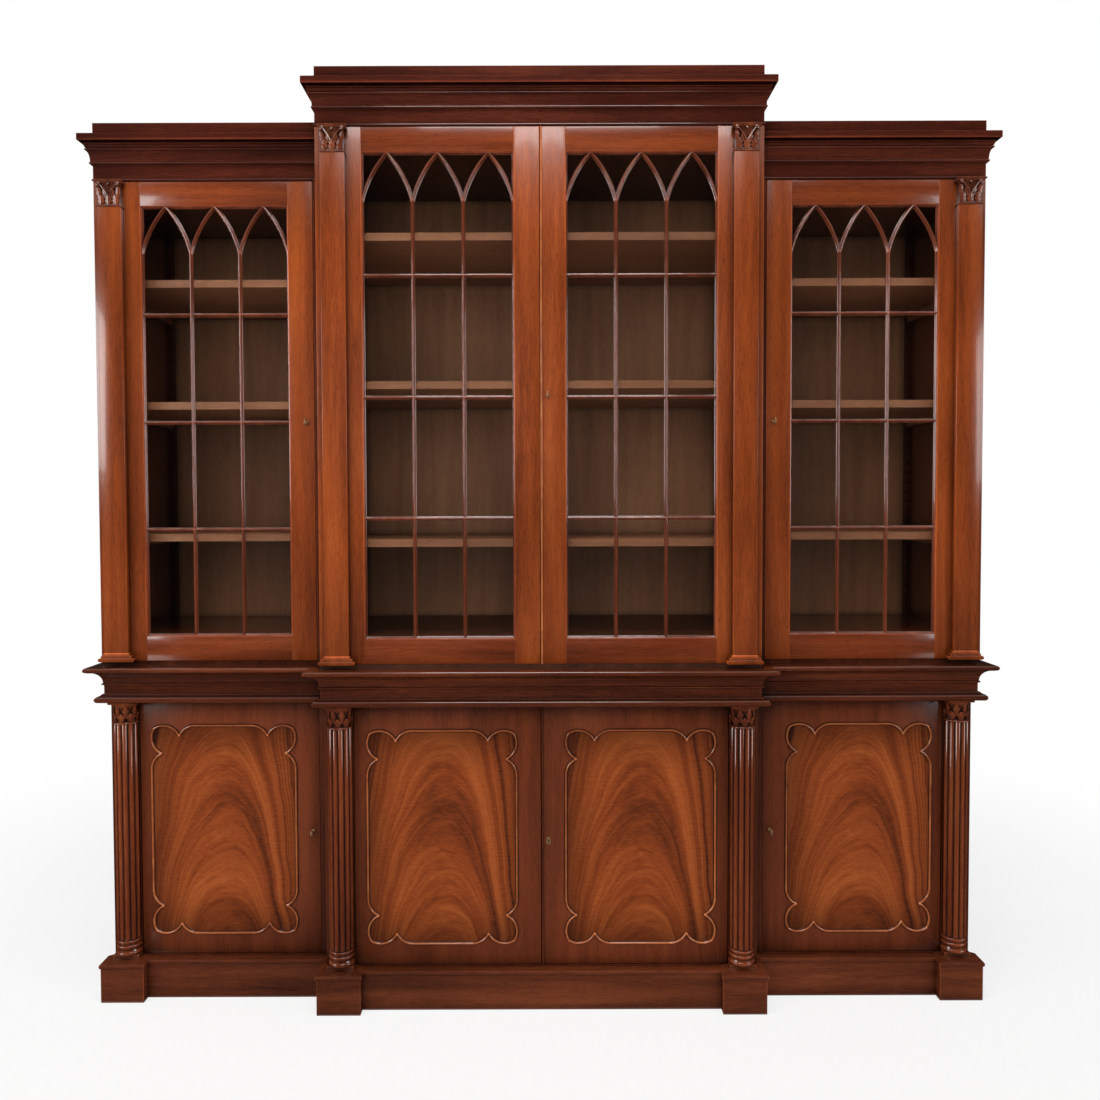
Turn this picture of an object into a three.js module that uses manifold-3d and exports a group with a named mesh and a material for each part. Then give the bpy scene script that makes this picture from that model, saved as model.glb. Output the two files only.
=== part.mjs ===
// Breakfront bookcase in mahogany. The middle bay stands forward of two lower wings. Four glazed
// doors with lancet bars stand over four panelled doors with a scalloped bead.
// Millimetres, Z up. In the working group y = 0 is the front of the middle plinth blocks.
// A width u is measured outward from the middle line, so x is u times the side's sign.
import * as THREE from 'three';
import { mergeVertices } from 'three/addons/utils/BufferGeometryUtils.js';
import Module from 'manifold-3d';

const wasm = await Module();
wasm.setup();

// Overall widths, measured from the middle line
const middleHalf = 574; // middle bay of the lower body
const bodyHalf = 1169; // lower body over both wings
const caseReach = 6; // by which the middle upper case passes the bay under it
const upperReach = 15; // and by which both wings' upper cases pass the lower body
const caseHalf = middleHalf + caseReach;
const upperHalf = bodyHalf + upperReach;

// Depths behind the front of the middle plinth blocks
const bodyDepth = 523; // back of every carcase
const wingStep = 60; // how far the wings stand back
const friezeLine = 15; // frieze of the waist
const railLine = 25; // plinth rails
const upperDoorLine = 34; // faces of the glazed doors
const lowerDoorLine = 50; // faces of the panelled doors

// Heights above the floor
const plinthHeight = 90; // plinth rails behind the nosing
const noseBottom = 93;
const noseTop = 104;
const blockTop = 118; // seat of the columns
const floorTop = 108.7; // floor of the lower case
const lowerDoorTop = 800;
const waistBottom = 809.5;
const waistTop = 907;
const upperFloorRise = 76; // floor of the upper cases above the waist
const upperRise = 1404; // from the waist to the middle bay's cornice
const upperFloorTop = waistTop + upperFloorRise;
const corniceBottom = waistTop + upperRise;
const wingDrop = 115.5; // how much lower the wings end

// Boards and play
const board = 20; // sides and partitions
const thinBoard = 18; // floors and tops of the upper cases
const topBoard = 22; // top of the waist and its frieze
const backBoard = 6;
const clearance = 0.3; // between pieces that fit in each other
const doorThickness = 22;
const doorPlay = 1; // behind a closed door
const edgePlay = 1.5; // round a panelled door
const meeting = 1; // from the middle line to each middle door
const overrun = 5; // by which a cut passes its piece

// Finishes
const mahogany = { color: 0x6b2f19, roughness: 0.35, metalness: 0 };
const figured = { color: 0x7c3d1c, roughness: 0.3, metalness: 0 };
const shelfWood = { color: 0xa5785a, roughness: 0.5, metalness: 0 };
const backWood = { color: 0x4f4031, roughness: 0.7, metalness: 0 };
const brass = { color: 0xc8a888, roughness: 0.35, metalness: 1 };
const steel = { color: 0x8a8780, roughness: 0.4, metalness: 1 };
const clearGlass = { color: 0xdfe8e4, roughness: 0.05, metalness: 0 };

// Closed solids from three.js geometry, and back
const solidOf = (geometry) => {
  geometry.deleteAttribute('normal');
  geometry.deleteAttribute('uv');
  const merged = mergeVertices(geometry);
  return new wasm.Manifold(new wasm.Mesh({
    numProp: 3,
    vertProperties: Float32Array.from(merged.attributes.position.array),
    triVerts: Uint32Array.from(merged.index.array),
  }));
};

const geometryOf = (solid) => {
  const mesh = solid.getMesh();
  const geometry = new THREE.BufferGeometry();
  geometry.setAttribute('position', new THREE.BufferAttribute(mesh.vertProperties, 3));
  geometry.setIndex(new THREE.BufferAttribute(mesh.triVerts, 1));
  geometry.computeVertexNormals();
  return geometry;
};

const unite = (solids) => solids.reduce((whole, solid) => whole.add(solid));
const cutAll = (solid, cuts) => cuts.reduce((rest, cut) => rest.subtract(cut), solid);

// A board between two corners given in any order
const block = (x0, x1, y0, y1, z0, z1) => {
  const geometry = new THREE.BoxGeometry(Math.abs(x1 - x0), Math.abs(y1 - y0), Math.abs(z1 - z0));
  geometry.translate((x0 + x1) / 2, (y0 + y1) / 2, (z0 + z1) / 2);
  return solidOf(geometry);
};

const sameShare = 0.01; // points closer than this share of the clearance are one
const shapeOf = (points) => {
  const distinct = points.filter(([a, b], i) => {
    const [c, d] = points[(i + 1) % points.length];
    return Math.hypot(a - c, b - d) > clearance * sameShare;
  });
  return new THREE.Shape(distinct.map(([a, b]) => new THREE.Vector2(a, b)));
};

const extruded = (points, depth, holes = []) => {
  const shape = shapeOf(points);
  shape.holes = holes.map(shapeOf);
  return new THREE.ExtrudeGeometry(shape, { depth, bevelEnabled: false });
};

const axisX = new THREE.Vector3(1, 0, 0);
const axisY = new THREE.Vector3(0, 1, 0);
const axisZ = new THREE.Vector3(0, 0, 1);
const frontward = new THREE.Vector3(0, -1, 0);

// An outline in y and z, run along x
const run = (points, x0, x1) => {
  const geometry = extruded(points, Math.abs(x1 - x0));
  geometry.applyMatrix4(new THREE.Matrix4().makeBasis(axisY, axisZ, axisX));
  geometry.translate(Math.min(x0, x1), 0, 0);
  return solidOf(geometry);
};

// An outline in x and z, run from the front to the back
const facing = (points, front, back, holes = []) => {
  const geometry = extruded(points, back - front, holes);
  geometry.applyMatrix4(new THREE.Matrix4().makeBasis(axisX, axisZ, frontward));
  geometry.translate(0, back, 0);
  return solidOf(geometry);
};

// An outline in x and y, run upward
const upright = (points, bottom, top) => {
  const geometry = extruded(points, top - bottom);
  geometry.translate(0, 0, bottom);
  return solidOf(geometry);
};

// A round profile of radius and height about a vertical line
const turned = (profile, sides, x, y) => {
  const points = profile.map(([r, z]) => new THREE.Vector2(r, z));
  const geometry = new THREE.LatheGeometry(points, sides);
  geometry.rotateX(Math.PI / 2);
  geometry.translate(x, y, 0);
  return solidOf(geometry);
};

// The same about a line that runs level to the front
const turnedForward = (profile, sides, x, y, z) => {
  const points = profile.map(([r, reach]) => new THREE.Vector2(r, reach));
  const geometry = new THREE.LatheGeometry(points, sides);
  geometry.rotateZ(Math.PI);
  geometry.translate(x, y, z);
  return solidOf(geometry);
};

// A body through rings of equal counts of points
const lofted = (rings) => {
  const count = rings[0].length;
  const geometry = new THREE.BufferGeometry();
  geometry.setAttribute('position', new THREE.Float32BufferAttribute(rings.flat(2), 3));
  const index = [];
  rings.slice(1).forEach((ring, level) => {
    const low = level * count;
    ring.forEach((point, i) => {
      const next = (i + 1) % count;
      index.push(low + i, low + next, low + count + next);
      index.push(low + i, low + count + next, low + count + i);
    });
  });
  const last = (rings.length - 1) * count;
  for (let i = 1; i < count - 1; i += 1) {
    index.push(0, i + 1, i);
    index.push(last, last + i, last + i + 1);
  }
  geometry.setIndex(index);
  return solidOf(geometry);
};

// Curves in a profile, from one point of projection and height to another: a cove leaves its start
// upright, an ovolo leaves it level, and a nose swells out to the second projection and back
const curveSteps = 4;
const stepShares = Array.from({ length: curveSteps + 1 }, (_, i) => i / curveSteps);
const cove = ([p0, z0], [p1, z1]) => stepShares.map((share) => {
  const angle = share * Math.PI / 2;
  return [p0 + (p1 - p0) * (1 - Math.cos(angle)), z0 + (z1 - z0) * Math.sin(angle)];
});
const ovolo = ([p0, z0], [p1, z1]) => stepShares.map((share) => {
  const angle = share * Math.PI / 2;
  return [p0 + (p1 - p0) * Math.sin(angle), z0 + (z1 - z0) * (1 - Math.cos(angle))];
});
const nose = ([p0, z0], [p1, z1]) => stepShares.map((share) => {
  const angle = share * Math.PI;
  return [p0 + (p1 - p0) * Math.sin(angle), (z0 + z1) / 2 - (z1 - z0) / 2 * Math.cos(angle)];
});
const straight = (start, end) => [start, end];

// A profile from its foot upward: curves between points that are shares of its rise
const profileOf = (shares, foot, rise) => shares.flatMap(([curve, start, end]) => curve(
  ...[start, end].map(([p, z]) => [p * rise, foot + z * rise])));

// A moulded block: the profile of projection and height runs along the front and returns, mitred,
// along the left and the right end where ends says 1
const moulded = (profile, x0, x1, front, back, ends = [1, 1], frontShare = 1) => {
  const left = Math.min(x0, x1);
  const right = Math.max(x0, x1);
  const bottom = profile[0][1];
  const top = profile[profile.length - 1][1];
  const reach = Math.max(...profile.map(([p]) => p)) + overrun;
  const nosing = profile.map(([p, z]) => [front - p * frontShare, z]);
  const lengthwise = run([...nosing, [back, top], [back, bottom]], left - reach, right + reach);
  const rightEdge = profile.map(([p, z]) => [right + p * ends[1], z]);
  const leftEdge = profile.map(([p, z]) => [left - p * ends[0], z]).reverse();
  const returns = facing([...rightEdge, ...leftEdge], front - reach, back);
  return lengthwise.intersect(returns);
};

const bookcase = new THREE.Group();
const working = new THREE.Group();
bookcase.add(working);

const addPiece = (name, solid, finish) => {
  const mesh = new THREE.Mesh(geometryOf(solid), new THREE.MeshStandardMaterial(finish));
  mesh.name = name;
  working.add(mesh);
};

const hands = [{ hand: 'left', sign: -1 }, { hand: 'right', sign: 1 }];

// Plinth: rails stepped with the body, and a block under each column
const blockWidth = 115;
const columnInset = 42; // from the end of a body to its column's middle
const plinthRail = 22;
const endInset = 10; // the rails' ends stand in from the body's ends
const floorProud = 4; // the lower floor's edge shows as a fillet under the doors
const blockSlope = 13; // the block's top slopes in this far
const seatInset = 22.5; // the column's seat stands in this far
const slopeTop = 108;
const seatFoot = 108.6;
const noseProud = 3.5;
const columnPlaces = [
  { name: 'middle', u: middleHalf - columnInset, step: 0 },
  { name: 'wing', u: bodyHalf - columnInset, step: wingStep },
];

const plinth = () => {
  const railProfile = [[0, 0], [0, noseBottom], ...nose([0, noseBottom], [noseProud, noseTop])];
  const blockProfile = [
    ...railProfile,
    [-blockSlope, slopeTop], [-seatInset + clearance, seatFoot], [-seatInset, blockTop],
  ];
  const middleEnd = middleHalf - endInset;
  const wingEnd = bodyHalf - endInset;
  const wingLine = railLine + wingStep;
  const rebate = lowerDoorLine - floorProud - clearance;
  const wide = bodyHalf + blockWidth;
  const high = blockTop + overrun;
  const far = bodyDepth + overrun;
  const rails = unite([
    moulded(railProfile, -middleEnd, middleEnd, railLine, bodyDepth),
    moulded(railProfile, -wingEnd, wingEnd, wingLine, bodyDepth),
    ...hands.flatMap(({ sign }) => columnPlaces.map(({ u, step }) => moulded(blockProfile,
      sign * u - blockWidth / 2, sign * u + blockWidth / 2, step, step + blockWidth))),
  ]);
  // The lower case drops behind the nosing, and there is one cell under each bay
  return cutAll(rails, [
    block(-middleHalf - clearance, middleHalf + clearance, rebate, far, plinthHeight, high),
    block(-wide, wide, rebate + wingStep, far, plinthHeight, high),
    block(-middleEnd + plinthRail, middleEnd - plinthRail, blockWidth + plinthRail,
      bodyDepth - plinthRail, -overrun, high),
    ...hands.map(({ sign }) => block(sign * middleEnd, sign * (wingEnd - plinthRail),
      wingStep + blockWidth + plinthRail, bodyDepth - plinthRail, -overrun, high)),
  ]);
};
addPiece('plinth', plinth(), mahogany);

// Pivots: each door turns on two pins near its outer front corner
const pivotInset = 4.5; // from the door's outer edge and from its face
const pinRadius = 3;
const pinLength = 6;
const pinSides = 8;
const pinPlay = 0.3;
const pin = (x, y, z0, z1, radius) => turned([[0, z0], [radius, z0], [radius, z1], [0, z1]],
  pinSides, x, y);

// Partitions stand under the upper cases' joints; the wing doors start just outside them
const wingGap = 0.5; // between the middle upper case and each wing's
const wingSide = 22.5; // the wing case's inner side shows beside its door
const partitionOuter = caseHalf + wingGap + wingSide;
const partitionInner = partitionOuter - board;

// Lower doors stand between the stiles behind the columns and what is inside them
const columnStile = 76;
const stileInner = middleHalf - columnStile;
const wingStileInner = bodyHalf - columnStile;
const beadInnerInset = 64.5; // from a door's edges to its planted bead
const middleBeadInset = 34.5;
const wingBeadInset = 30.5;
const hingePlay = 2; // beside the hinges, so that the corner clears as the door turns
const lowerDoorBottom = floorTop + clearance * 2;
const lowerRailBottom = lowerDoorTop + edgePlay;
const lowerDoors = hands.flatMap(({ hand, sign }) => [
  { name: `${hand}_wing`, sign, inner: partitionOuter + meeting, outer: wingStileInner - hingePlay,
    face: lowerDoorLine + wingStep, beadInset: wingBeadInset },
  { name: `middle_${hand}`, sign, inner: meeting, outer: stileInner - hingePlay,
    face: lowerDoorLine, beadInset: middleBeadInset },
]);
const pivotHoles = (doors, bottom, top) => doors.map(({ sign, outer, face }) => pin(
  sign * (outer - pivotInset), face + pivotInset, bottom, top, pinRadius + pinPlay));

// Lock bolts and their mortises
const boltLength = 46;
const boltHeight = 10;
const boltThickness = 8;
const boltBack = 2; // the withdrawn bolt lies this far inside the door's edge
const boltDepth = 11; // middle of the bolt behind the door's face
const boltThrow = 10;
const mortise = (sign, u0, u1, face, height) => block(sign * u0, sign * u1,
  face + boltDepth - boltThickness / 2 - clearance, face + boltDepth + boltThickness / 2 + clearance,
  height - boltHeight / 2 - clearance, height + boltHeight / 2 + clearance);
const lowerLockHeight = 447;
const lowerMiddleLockHeight = 441;
const upperWingLockRise = 648; // above the waist
const upperMiddleLockRise = 711;
const upperWingLockHeight = waistTop + upperWingLockRise;
const upperMiddleLockHeight = waistTop + upperMiddleLockRise;

// Lower case: floor, sides, partitions, stiles behind the columns, top rails and back in one frame
const returnBoard = 22;
const lowerCase = () => {
  const middleFront = lowerDoorLine;
  const wingFront = lowerDoorLine + wingStep;
  const behind = doorThickness + doorPlay;
  const low = plinthHeight;
  const high = waistBottom;
  const frame = unite([
    block(-middleHalf, middleHalf, middleFront - floorProud, bodyDepth, low, floorTop),
    block(-bodyHalf, bodyHalf, wingFront - floorProud, bodyDepth, low, floorTop),
    block(-bodyHalf, bodyHalf, bodyDepth - backBoard, bodyDepth, low, high),
    block(-middleHalf, middleHalf, middleFront, middleFront + behind, lowerRailBottom, high),
    block(-bodyHalf, bodyHalf, wingFront, wingFront + behind, lowerRailBottom, high),
    ...hands.flatMap(({ sign }) => [
      block(sign * (bodyHalf - board), sign * bodyHalf, wingFront, bodyDepth, low, high),
      block(sign * wingStileInner, sign * bodyHalf, wingFront, wingFront + doorThickness, low, high),
      block(sign * stileInner, sign * middleHalf, middleFront, middleFront + doorThickness, low, high),
      block(sign * (middleHalf - returnBoard), sign * middleHalf, middleFront, wingFront + behind,
        low, high),
      block(sign * (middleHalf - returnBoard), sign * partitionOuter, wingFront,
        wingFront + behind, low, high),
      block(sign * partitionInner, sign * partitionOuter, wingFront, bodyDepth, low, high),
    ]),
  ]);
  return cutAll(frame, [
    block(-middleHalf + returnBoard, middleHalf - returnBoard, middleFront + behind,
      wingFront + behind + overrun, floorTop, high + overrun),
    ...pivotHoles(lowerDoors, floorTop - pinLength - pinPlay, floorTop + overrun),
    ...pivotHoles(lowerDoors, lowerRailBottom - overrun, lowerRailBottom + pinLength + pinPlay),
    ...hands.map(({ sign }) => mortise(sign, partitionOuter - boltThrow - pinPlay,
      partitionOuter + overrun, wingFront, lowerLockHeight)),
  ]);
};
addPiece('lower_case', lowerCase(), mahogany);

// Waist: the frieze and the moulded top, hollow over each bay
const waistShares = [
  [nose, [0.103, 0], [0.195, 0.179]],
  [straight, [0.062, 0.179], [0.062, 0.221]],
  [straight, [0, 0.241], [0, 0.462]],
  [nose, [0.01, 0.477], [0.041, 0.528]],
  [cove, [0.031, 0.528], [0.308, 0.856]],
  [nose, [0.323, 0.867], [0.39, 1]],
];
const waist = () => {
  const profile = profileOf(waistShares, waistBottom, waistTop - waistBottom);
  const wingLine = friezeLine + wingStep;
  const slab = moulded(profile, -middleHalf, middleHalf, friezeLine, bodyDepth).add(
    moulded(profile, -bodyHalf, bodyHalf, wingLine, bodyDepth));
  const underTop = waistTop - topBoard;
  const cellBack = bodyDepth - backBoard;
  return cutAll(slab, [
    block(-middleHalf + returnBoard, middleHalf - returnBoard, lowerDoorLine + doorThickness,
      cellBack, waistBottom - overrun, underTop),
    ...hands.map(({ sign }) => block(sign * partitionOuter, sign * (bodyHalf - board),
      lowerDoorLine + wingStep + doorThickness, cellBack, waistBottom - overrun, underTop)),
  ]);
};
addPiece('waist', waist(), mahogany);

// Columns: turned base, reeded shaft, leaf capital and abacus, cut flat behind
const columnRadius = 34.5;
const shaftRadius = 33;
const reeds = 12;
const reedDepth = 3.5;
const baseHeight = 40;
const capitalBottom = 748;
const abacusBottom = 801;
const lobeSteps = 3;
const turnedSides = 16;
const columnBaseShares = [
  [0, 0], [0.9, 0], [1, 0.1], [1, 0.25], [0.9, 0.35], [0.82, 0.42], [0.85, 0.56],
  [0.95, 0.62], [0.95, 0.74], [0.88, 0.8], [0.88, 1], [0, 1],
];
const capitalShares = [ // radius, depth of the valleys between leaves, height
  [0.93, 0, 0], [0.99, 0, 0.06], [0.83, 0.02, 0.13], [0.86, 0.12, 0.4],
  [0.94, 0.14, 0.52], [0.86, 0.06, 0.58], [0.9, 0.12, 0.82], [1, 0.1, 1],
];
// Rounded lobes about a middle, as reeds or leaves
const lobedRing = (x, y, radius, depth, lobes) => Array.from({ length: lobes * lobeSteps }, (_, i) => {
  const angle = i / (lobes * lobeSteps) * 2 * Math.PI;
  const swell = Math.sin((i % lobeSteps) / lobeSteps * Math.PI);
  const r = radius - depth * (1 - swell);
  return [x + r * Math.cos(angle), y + r * Math.sin(angle)];
});
const leaves = 8;
const column = (x, line) => {
  const y = line - (lowerDoorLine - shaftRadius - friezeLine);
  const shaftBottom = blockTop + baseHeight;
  const base = turned(columnBaseShares.map(([r, h]) => [r * columnRadius, blockTop + h * baseHeight]),
    turnedSides, x, y);
  const shaft = upright(lobedRing(x, y, shaftRadius, reedDepth, reeds), shaftBottom - clearance,
    capitalBottom + clearance);
  const rise = abacusBottom - capitalBottom;
  const capital = lofted(capitalShares.map(([r, depth, h]) => lobedRing(x, y, r * columnRadius,
    depth * columnRadius, leaves).map(([a, b]) => [a, b, capitalBottom + h * rise])));
  const abacus = block(x - columnRadius, x + columnRadius, y - columnRadius, y + columnRadius,
    abacusBottom - clearance, waistBottom);
  const behind = block(x - blockWidth, x + blockWidth, line - clearance, line + blockWidth,
    blockTop - overrun, waistBottom + overrun);
  return unite([base, shaft, capital, abacus]).subtract(behind);
};
hands.forEach(({ hand, sign }) => columnPlaces.forEach(({ name, u, step }) => {
  addPiece(`column_${name}_${hand}`, column(sign * u, lowerDoorLine + step), mahogany);
}));

// Lower doors: a flat panel with a planted bead that runs in scallops round each corner
const beadWidth = 5;
const beadProud = 5;
const beadBottom = 165.5;
const beadTop = 737;
const beadSpans = lowerDoors.map(({ inner, outer, beadInset }) => outer - beadInset
  - (inner + beadInnerInset));
const beadSpan = Math.min(...beadSpans); // on the narrower doors
const scallopRadiusShare = 47 / 392;
const scallopNearShare = 33 / 392;
const scallopLap = 1.5; // by which neighbouring scallops cross inside the bead
const scallopRadius = beadSpan * scallopRadiusShare;
const scallopNear = beadSpan * scallopNearShare; // from the corner to its own scallop's middle
const scallopFar = scallopNear + (scallopRadius - beadWidth / 2 - scallopLap) * 2; // and the next
const scallopSteps = 3;
const arcPoints = ([cx, cy], r, from, to) => Array.from({ length: scallopSteps }, (_, i) => {
  const angle = from + (to - from) * i / scallopSteps;
  return [cx + r * Math.cos(angle), cy + r * Math.sin(angle)];
});
// One corner of the bead's edge, from the straight run to the diagonal and on to the other run
const beadCorner = (r) => {
  const half = (scallopFar - scallopNear) / 2;
  const sum = scallopNear + scallopRadius;
  const squares = scallopNear ** 2 + scallopRadius ** 2;
  const tip = (sum - Math.sqrt(sum ** 2 - 2 * (squares - r ** 2))) / 2;
  const cuspAngle = Math.asin(Math.sqrt(r ** 2 - half ** 2) / r);
  const tipAngle = Math.atan2(tip - scallopRadius, tip - scallopNear);
  const firstHalf = [
    ...arcPoints([scallopFar, scallopRadius], r, -Math.PI / 2, cuspAngle - Math.PI),
    ...arcPoints([scallopNear, scallopRadius], r, -cuspAngle, tipAngle),
  ];
  return [...firstHalf, [tip, tip], ...firstHalf.map(([u, v]) => [v, u]).reverse()];
};
const beadEdge = (x0, x1, r) => {
  const corner = beadCorner(r);
  const back = [...corner].reverse();
  return [
    ...corner.map(([u, v]) => [x0 + u, beadTop - v]),
    ...back.map(([u, v]) => [x0 + u, beadBottom + v]),
    ...corner.map(([u, v]) => [x1 - u, beadBottom + v]),
    ...back.map(([u, v]) => [x1 - u, beadTop - v]),
  ];
};
const meetingBeadWidth = 5;
const meetingBeadProud = 3;
const meetingBead = (face, z0, z1) => block(meeting, meeting + meetingBeadWidth, face - meetingBeadProud,
  face + clearance, z0, z1);
const keyHoleRadius = 2.6;
const keyOffset = 18; // from the door's edge to its key
const keyHole = (sign, inner, face, height) => turnedForward([
  [0, 0], [keyHoleRadius, 0], [keyHoleRadius, boltDepth], [0, boltDepth],
], pinSides, sign * (inner + keyOffset), face + boltDepth, height);
const lockCuts = ({ sign, inner, face }, height) => [
  mortise(sign, inner - overrun, inner + boltBack + boltLength + clearance, face, height),
  keyHole(sign, inner, face, height),
];
const receiver = ({ sign, inner, face }, height) => mortise(sign, inner - overrun,
  inner + boltThrow + pinPlay, face, height);
const pins = ({ sign, outer, face }, z0, z1) => {
  const x = sign * (outer - pivotInset);
  const y = face + pivotInset;
  return [
    pin(x, y, z0 - pinLength, z0 + clearance, pinRadius),
    pin(x, y, z1 - clearance, z1 + pinLength, pinRadius),
  ];
};

const lowerDoor = (door) => {
  const { name, sign, inner, outer, face, beadInset } = door;
  const beadInner = inner + beadInnerInset;
  const beadOuter = outer - beadInset;
  const panel = block(sign * inner, sign * outer, face, face + doorThickness, lowerDoorBottom,
    lowerDoorTop);
  const x0 = Math.min(sign * beadInner, sign * beadOuter);
  const x1 = Math.max(sign * beadInner, sign * beadOuter);
  const bead = facing(beadEdge(x0, x1, scallopRadius + beadWidth / 2), face - beadProud,
    face + clearance, [beadEdge(x0, x1, scallopRadius - beadWidth / 2)]);
  const parts = [panel, bead, ...pins(door, lowerDoorBottom, lowerDoorTop)];
  if (name === 'middle_right') {
    parts.push(meetingBead(face, lowerDoorBottom, lowerDoorTop));
  }
  const whole = unite(parts);
  if (name === 'middle_left') {
    return whole.subtract(receiver(door, lowerMiddleLockHeight));
  }
  const height = name === 'middle_right' ? lowerMiddleLockHeight : lowerLockHeight;
  return cutAll(whole, lockCuts(door, height));
};
lowerDoors.forEach((door) => addPiece(`lower_door_${door.name}`, lowerDoor(door), figured));

// Lower shelves, one in each bay, on bearers fixed to them
const lowerShelfHeight = 440;
const lowerShelfFrontGap = 30; // behind the door
const bearer = 18;
const bearerDepth = 12;
const lowerShelf = (x0, x1, front) => {
  const back = bodyDepth - backBoard - clearance;
  const left = Math.min(x0, x1) + clearance;
  const right = Math.max(x0, x1) - clearance;
  return unite([
    block(left, right, front, back, lowerShelfHeight, lowerShelfHeight + board),
    block(left, left + bearerDepth, front + bearer, back, lowerShelfHeight - bearer,
      lowerShelfHeight + clearance),
    block(right - bearerDepth, right, front + bearer, back, lowerShelfHeight - bearer,
      lowerShelfHeight + clearance),
  ]);
};
const lowerShelfFront = lowerDoorLine + doorThickness + lowerShelfFrontGap;
addPiece('lower_shelf_middle', lowerShelf(-partitionInner, partitionInner,
  lowerShelfFront + wingStep), shelfWood);
hands.forEach(({ hand, sign }) => addPiece(`lower_shelf_${hand}_wing`, lowerShelf(
  sign * partitionOuter, sign * (bodyHalf - board), lowerShelfFront + wingStep), shelfWood));

// Upper cases: sides, floor, top and toothed racks, open behind for the back panel
const doorFootRise = 9.7; // the case's foot shows under the doors
const doorFoot = waistTop + doorFootRise;
const footInset = 2;
const toothPitch = 29.8;
const middleFirstSeat = 14.4; // above the case's floor
const wingFirstSeat = 28.5;
const toothlessTop = 145; // of each rack
const seatsUnder = (top, firstSeat) => Math.floor(
  (top - thinBoard - toothlessTop - upperFloorTop - firstSeat) / toothPitch);
const middleSeats = seatsUnder(corniceBottom, middleFirstSeat);
const wingSeats = seatsUnder(corniceBottom - wingDrop, wingFirstSeat);
const lowShelf = 209; // heights above the first tooth, taken to the nearest tooth
const middleShelf = 626;
const highShelf = 1013;
const wingMiddleShelf = 566;
const wingHighShelf = 894;
const seatsAt = (...heights) => heights.map((height) => Math.round(height / toothPitch));
const middleShelves = seatsAt(lowShelf, middleShelf, highShelf);
const wingShelves = seatsAt(lowShelf, wingMiddleShelf, wingHighShelf);
const bays = [
  { name: 'middle', sign: 0, left: -caseHalf, right: caseHalf, inLeft: thinBoard, inRight: thinBoard,
    step: 0, drop: 0, firstSeat: middleFirstSeat, seats: middleSeats, shelves: middleShelves },
  { name: 'left_wing', sign: -1, left: -upperHalf, right: -caseHalf - wingGap, inLeft: thinBoard,
    inRight: wingSide, step: wingStep, drop: wingDrop, firstSeat: wingFirstSeat, seats: wingSeats,
    shelves: wingShelves },
  { name: 'right_wing', sign: 1, left: caseHalf + wingGap, right: upperHalf, inLeft: wingSide,
    inRight: thinBoard, step: wingStep, drop: wingDrop, firstSeat: wingFirstSeat, seats: wingSeats,
    shelves: wingShelves },
];
const footPlay = 0.8; // between the case's foot and the doors
const upperDoorBottom = doorFoot + footPlay;
const upperDoorTop = corniceBottom - edgePlay;
const meetingStile = 66; // wood beside the glass, at a door's free edge
const middleHingeStile = 119; // and at its hinges, under the pilaster
const wingHingeStile = 123;
const upperDoors = hands.flatMap(({ hand, sign }) => [
  { name: `${hand}_wing`, sign, inner: partitionOuter + meeting, outer: upperHalf,
    face: upperDoorLine + wingStep, drop: wingDrop,
    glassInner: partitionOuter + meeting + meetingStile, glassOuter: upperHalf - wingHingeStile },
  { name: `middle_${hand}`, sign, inner: meeting, outer: caseHalf,
    face: upperDoorLine, drop: 0, glassInner: meeting + meetingStile,
    glassOuter: caseHalf - middleHingeStile },
]);
const rackWidth = 22;
const rackThickness = 12;
const rackInset = 5; // from the case's front edge
const toothDepth = 9;
const rack = (bay, x0, x1, edge, toward, top) => {
  const plain = edge - toward * rackWidth;
  const foot = upperFloorTop - clearance;
  const firstTooth = upperFloorTop + bay.firstSeat;
  const teeth = Array.from({ length: bay.seats }, (_, i) => firstTooth + i * toothPitch);
  return run([
    [plain, foot], [edge, foot],
    ...teeth.flatMap((z) => [[edge, z], [edge - toward * toothDepth, z]]),
    [edge, firstTooth + bay.seats * toothPitch], [edge, top], [plain, top],
  ], x0, x1);
};
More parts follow.
